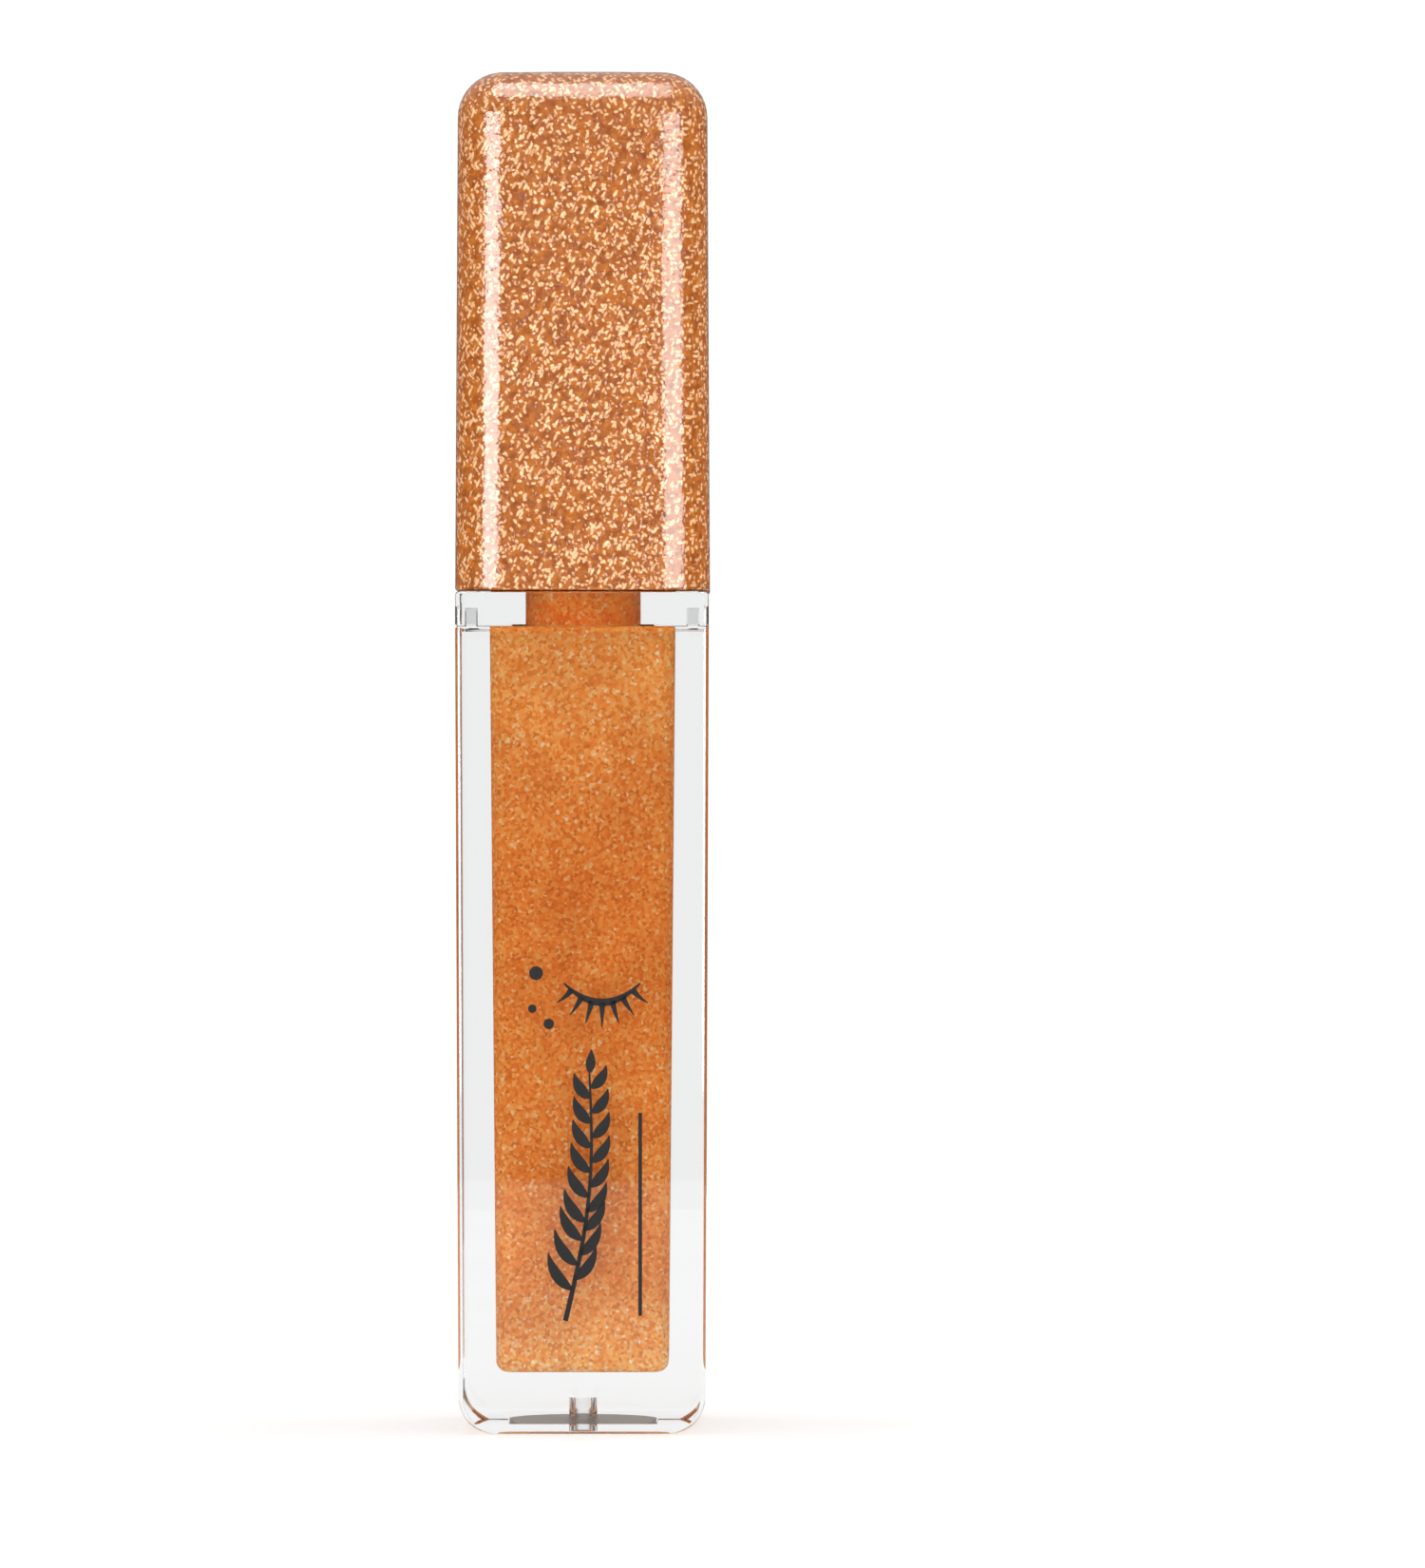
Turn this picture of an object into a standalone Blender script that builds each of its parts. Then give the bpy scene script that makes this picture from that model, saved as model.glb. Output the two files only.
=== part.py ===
"""Square mascara tube: clear bottle with glitter gel, screw cap, wand and twisted-wire brush.

Metres, +Z up. The origin is the middle of the base, and the bottle's axis is +Z.
The cap is screwed down. Everything the cap carries has its origin on that axis.
"""

from math import cos, pi, sin, sqrt, tau

import bmesh
import bpy

MM = 0.001
GAP = 0.30 * MM  # between pieces that touch on the real tube

# Levels above the surface the tube stands on
CAVITY_FLOOR = 4.8 * MM
BODY_RIM = 63.7 * MM
SHOULDER = 66.5 * MM
NECK_TOP = 78.6 * MM
CAP_RIM = SHOULDER + GAP
CAP_TOP = 108.0 * MM

# Square sections, as half widths and corner radii
BODY_HALF_LOW = 9.75 * MM
BODY_HALF_HIGH = 10.0 * MM
BODY_CORNER = 0.4 * MM
BODY_EDGE = 3.0 * MM
BODY_FRONT_EDGE = 1.0 * MM
CAVITY_HALF_LOW = 6.8 * MM
CAVITY_HALF_HIGH = 7.3 * MM
CAVITY_CORNER = 1.6 * MM
CAVITY_EDGE = 0.9 * MM
CAP_HALF_LOW = 10.1 * MM
CAP_HALF_HIGH = 9.9 * MM
CAP_CORNER = 3.8 * MM
CAP_EDGE = 3.6 * MM
CAP_CROWN = 0.3 * MM
CAP_WALL = 1.3 * MM

# Base recesses
LABEL_RECESS_R = 6.0 * MM
LABEL_RECESS_DEPTH = 0.8 * MM
GATE_R = 1.15 * MM
GATE_DEPTH = 1.7 * MM
LABEL_THICK = 0.45 * MM

# Weld tongues on the left and right of the body's rim, and the grooves above them
TONGUE_X = 8.75 * MM
TONGUE_WIDTH = 0.8 * MM
TONGUE_LENGTH = 15.0 * MM
TONGUE_HEIGHT = 1.4 * MM
GROOVE_SIDE_GAP = 0.1 * MM
OVERCUT = 0.5 * MM

# Neck, wiper and seal
NECK_R = 5.8 * MM
BORE_R = 4.55 * MM
WIPER_R = 4.4 * MM
WIPER_WALL = 0.45 * MM
WIPER_FLANGE_R = 5.4 * MM
WIPER_FLANGE = 0.8 * MM
WIPER_BOTTOM = 67.2 * MM
WIPER_LIP_R = 2.05 * MM
WASHER_R = 5.4 * MM
WASHER_BORE_R = 2.2 * MM
WASHER_THICK = 1.0 * MM

# Right-handed screw thread
THREAD_PITCH = 2.5 * MM
THREAD_TURNS = 1.75
THREAD_HEIGHT = 0.7 * MM
THREAD_ROOT = 1.3 * MM
THREAD_CREST = 0.6 * MM
THREAD_BITE = 0.25 * MM
CREST_GAP = 0.1 * MM
NECK_THREAD_START = SHOULDER + 3.6 * MM
CAP_THREAD_START = NECK_THREAD_START + THREAD_PITCH / 2

# Inner cap
SKIRT_BORE_R = NECK_R + 2 * THREAD_HEIGHT + CREST_GAP
SKIRT_R = SKIRT_BORE_R + 0.8 * MM
SKIRT_RIM = CAP_RIM + 0.7 * MM
CEILING = 1.2 * MM
FLANGE_THICK = 1.2 * MM
SOCKET_R = 3.1 * MM
SOCKET_DEPTH = 9.0 * MM
RIB_THICK = 1.2 * MM

# Wand
ROD_R = 1.9 * MM
ROD_WIRE_BORE_R = 0.95 * MM
ROD_WIRE_BORE_DEPTH = 6.4 * MM

# Brush: left-handed, two starts
BRUSH_TIP = 9.8 * MM
BRUSH_LENGTH = 23.8 * MM
BRUSH_R = 3.8 * MM
BRUSH_TIP_R = 2.55 * MM
BRUSH_TAPER = 9.3 * MM
WIRE_R = 0.30 * MM
WIRE_HELIX_R = 0.35 * MM
UNTWISTED_TIP = 1.2 * MM
STARTS = 2
TURNS = 7
ROW_ROOT_R = WIRE_R + WIRE_HELIX_R + GAP
ROW_ROOT_THICK = 0.5 * MM
ROW_EDGE_THICK = 0.3 * MM
ROW_STEPS = 20
BRUSH_PITCH = (BRUSH_LENGTH - ROW_ROOT_THICK) / TURNS

# Gel
GEL_TOP = WIPER_BOTTOM - 0.6 * MM
GEL_BORE_R = 4.0 * MM

# Smoothness
CORNER_STEPS = 4
SIDE_POINTS = 3
EDGE_STEPS = 4
TURNED_SIDES = 24
OUTLINE_POINTS = 4 * (CORNER_STEPS + 1 + SIDE_POINTS)

BRUSH_TOP = BRUSH_TIP + BRUSH_LENGTH
ROD_BOTTOM = BRUSH_TOP + GAP
WIRE_TOP = ROD_BOTTOM + ROD_WIRE_BORE_DEPTH - GAP
WIPER_TOP = NECK_TOP + GAP + WIPER_FLANGE
WASHER_BOTTOM = WIPER_TOP + GAP
CEILING_BOTTOM = WASHER_BOTTOM + WASHER_THICK + GAP
CEILING_TOP = CEILING_BOTTOM + CEILING
SOCKET_TOP = CEILING_TOP + SOCKET_DEPTH
ROD_TOP = SOCKET_TOP - 1.5 * MM
SHELL_CEILING = CAP_TOP - CAP_WALL - CAP_CROWN

MATERIALS = {
    "clear_plastic": ((0.93, 0.94, 0.95, 1.0), 0.08, 0.0),
    "white_plastic": ((0.86, 0.86, 0.85, 1.0), 0.35, 0.0),
    "soft_plastic": ((0.82, 0.80, 0.76, 1.0), 0.5, 0.0),
    "foam": ((0.90, 0.90, 0.88, 1.0), 0.8, 0.0),
    "glitter_gel": ((0.68, 0.27, 0.07, 1.0), 0.35, 0.2),
    "label_paper": ((0.16, 0.16, 0.17, 1.0), 0.45, 0.0),
    "glitter_lacquer": ((0.80, 0.36, 0.11, 1.0), 0.30, 0.5),
    "twisted_wire": ((0.62, 0.62, 0.63, 1.0), 0.25, 1.0),
    "bristle": ((0.03, 0.025, 0.022, 1.0), 0.45, 0.0),
}


def clear_scene():
    """Remove every object, so the script always starts from nothing."""
    for leftover in list(bpy.data.objects):
        bpy.data.objects.remove(leftover, do_unlink=True)


def material(name):
    """The Principled material of that name, made on first use."""
    if name in bpy.data.materials:
        return bpy.data.materials[name]
    colour, roughness, metallic = MATERIALS[name]
    made = bpy.data.materials.new(name)
    made.use_nodes = True
    made.diffuse_color = colour
    shader = made.node_tree.nodes["Principled BSDF"]
    shader.inputs["Base Color"].default_value = colour
    shader.inputs["Roughness"].default_value = roughness
    shader.inputs["Metallic"].default_value = metallic
    return made


def add_object(name, bm, material_name, parent=None, smooth=True):
    """Turn a bmesh into a named object with its material and shading."""
    bmesh.ops.recalc_face_normals(bm, faces=bm.faces)
    mesh = bpy.data.meshes.new(name)
    bm.to_mesh(mesh)
    bm.free()
    if smooth:
        mesh.shade_smooth()
        mesh.set_sharp_from_angle(angle=pi / 6)
    made = bpy.data.objects.new(name, mesh)
    made.data.materials.append(material(material_name))
    made.parent = parent
    bpy.context.scene.collection.objects.link(made)
    return made


def add_pivot(name, parent=None):
    """An empty on the tube's axis that carries the pieces of one moving body."""
    pivot = bpy.data.objects.new(name, None)
    pivot.empty_display_size = 5 * MM
    pivot.parent = parent
    bpy.context.scene.collection.objects.link(pivot)
    return pivot


def square_outline(half, corner, half_y=None):
    """Points of a square with round corners, counter-clockwise from the +X side.

    A second half width makes it a rectangle.
    """
    inset_x = half - corner
    inset_y = (half_y or half) - corner
    sides = (
        (1, 1, 0, inset_x),
        (-1, 1, pi / 2, inset_y),
        (-1, -1, pi, inset_x),
        (1, -1, 3 * pi / 2, inset_y),
    )
    outline = []
    for sx, sy, start, inset in sides:
        arc = []
        for step in range(CORNER_STEPS + 1):
            angle = start + pi / 2 * step / CORNER_STEPS
            arc.append((sx * inset_x + corner * cos(angle), sy * inset_y + corner * sin(angle)))
        outline += arc
        end_x, end_y = arc[-1]
        for step in range(1, SIDE_POINTS + 1):
            share = step / (SIDE_POINTS + 1)
            away = 2 * inset * share
            outline.append((end_x - away * sin(start + pi / 2), end_y + away * cos(start + pi / 2)))
    return outline


def round_outline(radius):
    """Points of a circle, evenly spaced, that pair off with those of a square outline."""
    first = pi / 4 - CORNER_STEPS / 2 * tau / OUTLINE_POINTS
    angles = [first + tau * i / OUTLINE_POINTS for i in range(OUTLINE_POINTS)]
    return [(radius * cos(a), radius * sin(a)) for a in angles]


def ring(outline, z):
    """An outline lifted to a level."""
    return [(x, y, z) for x, y in outline]


def loft(rings, closed=False):
    """Skin rings of equal length. An open loft has its first and last ring filled."""
    bm = bmesh.new()
    rows = [[bm.verts.new(point) for point in points] for points in rings]
    pairs = list(zip(rows, rows[1:]))
    if closed:
        pairs.append((rows[-1], rows[0]))
    for lower, upper in pairs:
        for i, vert in enumerate(lower):
            j = (i + 1) % len(lower)
            bm.faces.new((vert, lower[j], upper[j], upper[i]))
    if not closed:
        bm.faces.new(reversed(rows[0]))
        bm.faces.new(rows[-1])
    return bm


def turned(profile, sides=TURNED_SIDES):
    """A solid of revolution about Z from a closed (radius, level) outline off the axis."""
    angles = [tau * i / sides for i in range(sides)]
    rings = [[(r * cos(a), r * sin(a), z) for a in angles] for r, z in profile]
    return loft(rings, closed=True)


def turned_solid(profile, sides=TURNED_SIDES):
    """A solid of revolution whose outline starts and ends on the axis, with flat ends."""
    angles = [tau * i / sides for i in range(sides)]
    return loft([[(r * cos(a), r * sin(a), z) for a in angles] for r, z in profile])


def edge_arc(half, edge, level, upwards):
    """Half widths and levels of a quarter round between a flat end and a side."""
    steps = []
    for step in range(EDGE_STEPS + 1):
        angle = pi / 2 * step / EDGE_STEPS
        rise = edge * (1 - cos(angle))
        steps.append((half - edge + edge * sin(angle), level + rise if upwards else level - rise))
    return steps


def square_rings(steps, corner):
    """Rings of a square section, whose corner radius shrinks only where it must."""
    widest = max(half for half, _ in steps)
    return [ring(square_outline(half, max(corner - (widest - half), 0.25 * corner)), z) for half, z in steps]


def base_rings():
    """Rings of the bottle's lower edge, rounder at the sides than at the front and back."""
    rings = []
    for half, z in edge_arc(BODY_HALF_LOW, BODY_EDGE, 0.0, True):
        short = BODY_FRONT_EDGE - min(z, BODY_FRONT_EDGE)
        half_y = BODY_HALF_LOW - BODY_FRONT_EDGE + sqrt(BODY_FRONT_EDGE**2 - short**2)
        rings.append(ring(square_outline(half, BODY_CORNER, half_y), z))
    return rings


def thread_ridge(radius, start, outwards):
    """One right-handed ridge along a cylinder's wall, with tapering ends."""
    steps = int(THREAD_TURNS * TURNED_SIDES)
    sign = 1 if outwards else -1
    rings = []
    for step in range(steps + 1):
        angle = tau * THREAD_TURNS * step / steps
        centre = start + THREAD_PITCH * angle / tau
        fade = min(1.0, 0.15 + min(step, steps - step) / 3)
        crest = radius + sign * THREAD_HEIGHT * fade
        root = radius - sign * THREAD_BITE
        corners = (
            (root, centre - THREAD_ROOT / 2),
            (crest, centre - THREAD_CREST / 2),
            (crest, centre + THREAD_CREST / 2),
            (root, centre + THREAD_ROOT / 2),
        )
        rings.append([(r * cos(angle), r * sin(angle), z) for r, z in corners])
    return loft(rings)


def combine(target, tool, operation="UNION"):
    """Add a helper solid to an object, or cut it out, with a Boolean that stays on the object."""
    tool.hide_render = True
    tool.display_type = "WIRE"
    boolean = target.modifiers.new("with_" + tool.name, "BOOLEAN")
    boolean.operation = operation
    boolean.solver = "EXACT"
    boolean.object = tool


def bar_along_y(x, width, length, low, high):
    """A straight bar along Y, centred at x."""
    corners = ((-1, -1), (1, -1), (1, 1), (-1, 1))
    outline = [(x + sx * width / 2, sy * length / 2) for sx, sy in corners]
    return loft([ring(outline, low), ring(outline, high)])


def make_bottle_body(parent):
    """Thick clear cup: base recesses, drafted sides, rim with its two tongues, drafted cavity."""
    recess = LABEL_RECESS_DEPTH
    gate = recess + GATE_DEPTH
    rings = [
        ring(round_outline(GATE_R), gate),
        ring(round_outline(GATE_R), recess),
        ring(round_outline(LABEL_RECESS_R), recess),
        ring(round_outline(LABEL_RECESS_R), 0.0),
    ]
    rings += base_rings()
    rings += [
        ring(square_outline(BODY_HALF_HIGH, BODY_CORNER), BODY_RIM),
        ring(square_outline(CAVITY_HALF_HIGH, CAVITY_CORNER), BODY_RIM),
    ]
    floor = square_rings(edge_arc(CAVITY_HALF_LOW, CAVITY_EDGE, CAVITY_FLOOR, True), CAVITY_CORNER)
    rings += reversed(floor)
    piece = add_object("bottle_body", loft(rings), "clear_plastic", parent)
    for name, x in (("left", -TONGUE_X), ("right", TONGUE_X)):
        bar = bar_along_y(x, TONGUE_WIDTH, TONGUE_LENGTH, BODY_RIM - OVERCUT, BODY_RIM + TONGUE_HEIGHT)
        combine(piece, add_object(f"tongue_tool_{name}", bar, "clear_plastic", parent, smooth=False))
    return piece


def make_neck_piece(parent):
    """Clear plate with the two weld grooves below it and the threaded neck above it."""
    low = BODY_RIM + GAP
    bevel = 0.25 * MM
    rings = [
        ring(round_outline(BORE_R), low),
        ring(square_outline(BODY_HALF_HIGH, BODY_CORNER), low),
        ring(square_outline(BODY_HALF_HIGH, BODY_CORNER), SHOULDER - bevel),
        ring(square_outline(BODY_HALF_HIGH - bevel, BODY_CORNER - bevel), SHOULDER),
        ring(round_outline(NECK_R), SHOULDER),
        ring(round_outline(NECK_R), NECK_TOP - bevel),
        ring(round_outline(NECK_R - bevel), NECK_TOP),
        ring(round_outline(BORE_R), NECK_TOP),
    ]
    piece = add_object("neck_piece", loft(rings, closed=True), "clear_plastic", parent)
    ridge = thread_ridge(NECK_R, NECK_THREAD_START, outwards=True)
    combine(piece, add_object("neck_thread_tool", ridge, "clear_plastic", parent))
    width = TONGUE_WIDTH + 2 * GROOVE_SIDE_GAP
    length = TONGUE_LENGTH + 2 * GROOVE_SIDE_GAP
    for name, x in (("left", -TONGUE_X), ("right", TONGUE_X)):
        bar = bar_along_y(x, width, length, low - OVERCUT, low + TONGUE_HEIGHT)
        cutter = add_object(f"groove_tool_{name}", bar, "clear_plastic", parent, smooth=False)
        combine(piece, cutter, "DIFFERENCE")
    return piece


def make_wiper(parent):
    """Flanged sleeve in the neck's bore that narrows to a lip round the rod."""
    flange_low = NECK_TOP + GAP
    lip_land = 0.7 * MM
    cone = 2.6 * MM
    inner = WIPER_R - WIPER_WALL
    profile = (
        (WIPER_FLANGE_R, flange_low),
        (WIPER_FLANGE_R, WIPER_TOP),
        (inner + 0.3 * MM, WIPER_TOP),
        (inner, WIPER_TOP - 0.6 * MM),
        (inner, WIPER_BOTTOM + lip_land + cone),
        (WIPER_LIP_R, WIPER_BOTTOM + lip_land),
        (WIPER_LIP_R, WIPER_BOTTOM),
        (WIPER_LIP_R + 0.35 * MM, WIPER_BOTTOM),
        (WIPER_R, WIPER_BOTTOM + cone),
        (WIPER_R, flange_low),
    )
    return add_object("wiper", turned(profile), "soft_plastic", parent)


def make_glitter_gel(parent):
    """The product: it fills the cavity and the neck's bore, and the brush stands in a bore."""
    half_low = CAVITY_HALF_LOW - GAP
    half_high = CAVITY_HALF_HIGH - GAP
    corner = CAVITY_CORNER - GAP
    neck_r = BORE_R - GAP / 2
    floor = CAVITY_FLOOR + GAP
    outer = square_outline(half_high, corner)
    rings = square_rings(edge_arc(half_low, CAVITY_EDGE, floor, True), corner)
    rings += [
        ring(outer, BODY_RIM),
        ring(round_outline(neck_r), BODY_RIM),
        ring(round_outline(neck_r), GEL_TOP),
        ring(round_outline(GEL_BORE_R), GEL_TOP),
        ring(round_outline(GEL_BORE_R), BRUSH_TIP + BRUSH_TAPER),
        ring(round_outline(BRUSH_TIP_R + 2 * GAP), BRUSH_TIP - 2 * GAP),
    ]
    return add_object("glitter_gel", loft(rings), "glitter_gel", parent)


def make_base_label(parent):
    """Thin round label that lies in the base recess."""
    top = LABEL_RECESS_DEPTH - GAP / 2
    radius = LABEL_RECESS_R - GAP
    profile = ((radius, top - LABEL_THICK), (radius, top))
    return add_object("base_label", turned_solid(profile), "label_paper", parent)


def make_seal_washer(parent):
    """Foam ring between the wiper's flange and the ceiling of the inner cap."""
    top = WASHER_BOTTOM + WASHER_THICK
    profile = (
        (WASHER_BORE_R, WASHER_BOTTOM),
        (WASHER_R, WASHER_BOTTOM),
        (WASHER_R, top),
        (WASHER_BORE_R, top),
    )
    return add_object("seal_washer", turned(profile), "foam", parent)


def make_wand_rod(parent):
    """Clear round rod with a bore at its end for the brush wire."""
    chamfer = 0.3 * MM
    bore_top = ROD_BOTTOM + ROD_WIRE_BORE_DEPTH
    profile = (
        (ROD_WIRE_BORE_R, bore_top),
        (ROD_WIRE_BORE_R, ROD_BOTTOM),
        (ROD_R - chamfer, ROD_BOTTOM),
        (ROD_R, ROD_BOTTOM + chamfer),
        (ROD_R, ROD_TOP - chamfer),
        (ROD_R - chamfer, ROD_TOP),
    )
    return add_object("wand_rod", turned_solid(profile), "clear_plastic", parent)


def make_cap_shell(parent):
    """Square shell, open below, with large round edges and a slightly domed top."""
    top_edge = CAP_TOP - CAP_CROWN
    inner_edge = CAP_EDGE - CAP_WALL
    bevel = 0.2 * MM
    outside = [(CAP_HALF_HIGH * 0.35, CAP_TOP)] + edge_arc(CAP_HALF_HIGH, CAP_EDGE, top_edge, False)
    inside = edge_arc(CAP_HALF_HIGH - CAP_WALL, inner_edge, SHELL_CEILING, False)
    rings = square_rings(outside, CAP_CORNER)
    rings += [
        ring(square_outline(CAP_HALF_LOW, CAP_CORNER), CAP_RIM + bevel),
        ring(square_outline(CAP_HALF_LOW - bevel, CAP_CORNER - bevel), CAP_RIM),
        ring(square_outline(CAP_HALF_LOW - CAP_WALL, CAP_CORNER - CAP_WALL), CAP_RIM),
    ]
    rings += reversed(square_rings(inside, CAP_CORNER - CAP_WALL))
    return add_object("cap_shell", loft(rings), "glitter_lacquer", parent)


def make_inner_cap(parent):
    """Insert: threaded skirt, ceiling with the rod's hole, socket, locating flange and ribs."""
    rod_hole = ROD_R + 0.1 * MM
    rim = SKIRT_RIM
    flange_top = CEILING_TOP
    flange_low = flange_top - FLANGE_THICK
    flange_half = CAP_HALF_HIGH - CAP_WALL - GAP
    outer = square_outline(flange_half, CAP_CORNER - CAP_WALL - GAP)
    socket_inner_top = ROD_TOP + GAP
    rings = [
        ring(round_outline(rod_hole), socket_inner_top),
        ring(round_outline(rod_hole), CEILING_BOTTOM),
        ring(round_outline(SKIRT_BORE_R), CEILING_BOTTOM),
        ring(round_outline(SKIRT_BORE_R), rim),
        ring(round_outline(SKIRT_R), rim),
        ring(round_outline(SKIRT_R), flange_low),
        ring(outer, flange_low),
        ring(outer, flange_top),
        ring(round_outline(SOCKET_R), flange_top),
        ring(round_outline(SOCKET_R), SOCKET_TOP),
    ]
    piece = add_object("inner_cap", loft(rings), "white_plastic", parent)
    ridge = thread_ridge(SKIRT_BORE_R, CAP_THREAD_START, outwards=False)
    combine(piece, add_object("cap_thread_tool", ridge, "white_plastic", parent))
    for number, across in enumerate(("X", "Y"), start=1):
        rib = make_rib(along=across, low=flange_top)
        combine(piece, add_object(f"rib_tool_{number}", rib, "white_plastic", parent, smooth=False))
    return piece


def make_rib(along, low):
    """A rib across the shell that stands on the flange, straddles the socket and meets the ceiling."""
    half = CAP_HALF_HIGH - CAP_WALL - 4 * GAP
    bite = 0.4 * MM
    leg = SOCKET_R - bite
    bottom = low - bite
    crotch = SOCKET_TOP - bite
    top = SHELL_CEILING - GAP
    chamfer = 2.0 * MM
    outline = (
        (-half, bottom),
        (-leg, bottom),
        (-leg, crotch),
        (leg, crotch),
        (leg, bottom),
        (half, bottom),
        (half, top - chamfer),
        (half - chamfer, top),
        (-half + chamfer, top),
        (-half, top - chamfer),
    )
    sides = (-RIB_THICK / 2, RIB_THICK / 2)
    if along == "X":
        return loft([[(across, side, z) for across, z in outline] for side in sides])
    return loft([[(side, across, z) for across, z in outline] for side in sides])


def brush_radius(z):
    """Outer radius of the bristles at a level: cylindrical, tapering to the tip."""
    along = min(max((z - BRUSH_TIP) / BRUSH_TAPER, 0.0), 1.0)
    return BRUSH_TIP_R + (BRUSH_R - BRUSH_TIP_R) * sin(along * pi / 2)


def make_bristle_row(start, turn, parent):
    """One turn of one of the two left-handed bristle starts, as a thin spiral sheet."""
    low = BRUSH_TIP + ROW_ROOT_THICK / 2 + turn * BRUSH_PITCH
    end_gap = GAP / 2 / (tau * ROW_ROOT_R)
    rings = []
    for step in range(ROW_STEPS + 1):
        share = end_gap + (1 - 2 * end_gap) * step / ROW_STEPS
        angle = tau * (start / STARTS - share)
        z = low + BRUSH_PITCH * share
        outer = brush_radius(z)
        corners = (
            (ROW_ROOT_R, z - ROW_ROOT_THICK / 2),
            (outer, z - ROW_EDGE_THICK / 2),
            (outer, z + ROW_EDGE_THICK / 2),
            (ROW_ROOT_R, z + ROW_ROOT_THICK / 2),
        )
        rings.append([(r * cos(angle), r * sin(angle), level) for r, level in corners])
    number = turn * STARTS + start + 1
    return add_object(f"bristle_row_{number:02d}", loft(rings), "bristle", parent)


def wire_twist(rise):
    """Turns of the twist at a height above the tip's U, where it starts gently."""
    if rise < UNTWISTED_TIP:
        return rise * rise / (2 * UNTWISTED_TIP) / BRUSH_PITCH
    return (rise - UNTWISTED_TIP / 2) / BRUSH_PITCH


def wire_path():
    """Centre line of the folded wire: down one leg, round the U at the tip and up the other."""
    steps_per_turn = 9
    bend_steps = 5
    length = WIRE_TOP - BRUSH_TIP
    steps = int(length / BRUSH_PITCH * steps_per_turn)
    leg = []
    for step in range(steps + 1):
        rise = length * step / steps
        angle = -tau * wire_twist(rise)
        leg.append((WIRE_HELIX_R * cos(angle), WIRE_HELIX_R * sin(angle), BRUSH_TIP + rise))
    other = [(-x, -y, z) for x, y, z in leg]
    bend = []
    for step in range(1, bend_steps):
        angle = pi * step / bend_steps
        bend.append((WIRE_HELIX_R * cos(angle), 0.0, BRUSH_TIP - WIRE_HELIX_R * sin(angle)))
    return list(reversed(leg)) + bend + other


def make_brush_wire(parent):
    """One wire folded in a U at the tip, its legs twisted round each other."""
    curve = bpy.data.curves.new("brush_wire", "CURVE")
    curve.dimensions = "3D"
    curve.bevel_depth = WIRE_R
    curve.bevel_resolution = 1
    curve.use_fill_caps = True
    path = wire_path()
    spline = curve.splines.new("POLY")
    spline.points.add(len(path) - 1)
    for point, place in zip(spline.points, path):
        point.co = (*place, 1.0)
    curve.materials.append(material("twisted_wire"))
    wire = bpy.data.objects.new("brush_wire", curve)
    wire.parent = parent
    bpy.context.scene.collection.objects.link(wire)
    return wire


def main():
    clear_scene()
    bottle = add_pivot("bottle_frame")
    pulled = add_pivot("cap_pull_axis", bottle)
    raised = add_pivot("cap_rise_axis", pulled)
    turning = add_pivot("cap_turn_axis", raised)
    make_bottle_body(bottle)
    make_neck_piece(bottle)
    make_wiper(bottle)
    make_glitter_gel(bottle)
    make_base_label(bottle)
    make_seal_washer(pulled)
    make_wand_rod(raised)
    make_cap_shell(turning)
    make_inner_cap(turning)
    make_brush_wire(turning)
    for turn in range(TURNS):
        for start in range(STARTS):
            make_bristle_row(start, turn, turning)


main()
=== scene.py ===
"""Looks of the square mascara tube: clear bottle, glitter gel, glitter cap, wand and spiral brush.

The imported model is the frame. Every piece here is built in metres in the same place as the solid
that it stands for, and rides on that solid's body.
"""

import random
from math import cos, hypot, pi, radians, sin, sqrt, tau

import bmesh
import bpy
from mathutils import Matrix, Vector


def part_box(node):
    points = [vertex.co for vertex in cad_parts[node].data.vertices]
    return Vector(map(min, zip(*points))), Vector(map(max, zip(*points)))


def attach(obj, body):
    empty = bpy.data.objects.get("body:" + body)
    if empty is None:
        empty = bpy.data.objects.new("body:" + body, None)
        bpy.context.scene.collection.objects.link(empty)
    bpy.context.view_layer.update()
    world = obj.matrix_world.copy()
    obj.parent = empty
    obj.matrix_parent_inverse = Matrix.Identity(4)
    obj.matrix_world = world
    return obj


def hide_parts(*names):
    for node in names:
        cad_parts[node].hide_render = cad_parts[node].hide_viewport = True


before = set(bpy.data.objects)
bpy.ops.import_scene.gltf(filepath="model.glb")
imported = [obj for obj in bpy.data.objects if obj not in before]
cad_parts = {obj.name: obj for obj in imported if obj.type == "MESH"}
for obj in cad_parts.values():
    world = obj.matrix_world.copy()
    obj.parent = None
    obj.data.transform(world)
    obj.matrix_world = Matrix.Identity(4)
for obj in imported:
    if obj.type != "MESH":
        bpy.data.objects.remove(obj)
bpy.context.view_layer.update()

MM = 0.001

# Levels and half widths that the frame gives
BODY_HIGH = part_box("bottle_body")[1]
NECK_LOW, NECK_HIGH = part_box("neck_piece")
GEL_LOW, GEL_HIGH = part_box("glitter_gel")
WIPER_LOW, WIPER_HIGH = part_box("wiper")
LABEL_LOW, LABEL_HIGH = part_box("base_label")
SHELL_LOW, SHELL_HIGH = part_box("cap_shell")
INSERT_LOW, INSERT_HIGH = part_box("inner_cap")
WASHER_LOW, WASHER_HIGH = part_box("seal_washer")
ROD_LOW, ROD_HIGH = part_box("wand_rod")
WIRE_LOW, WIRE_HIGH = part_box("brush_wire")

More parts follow.
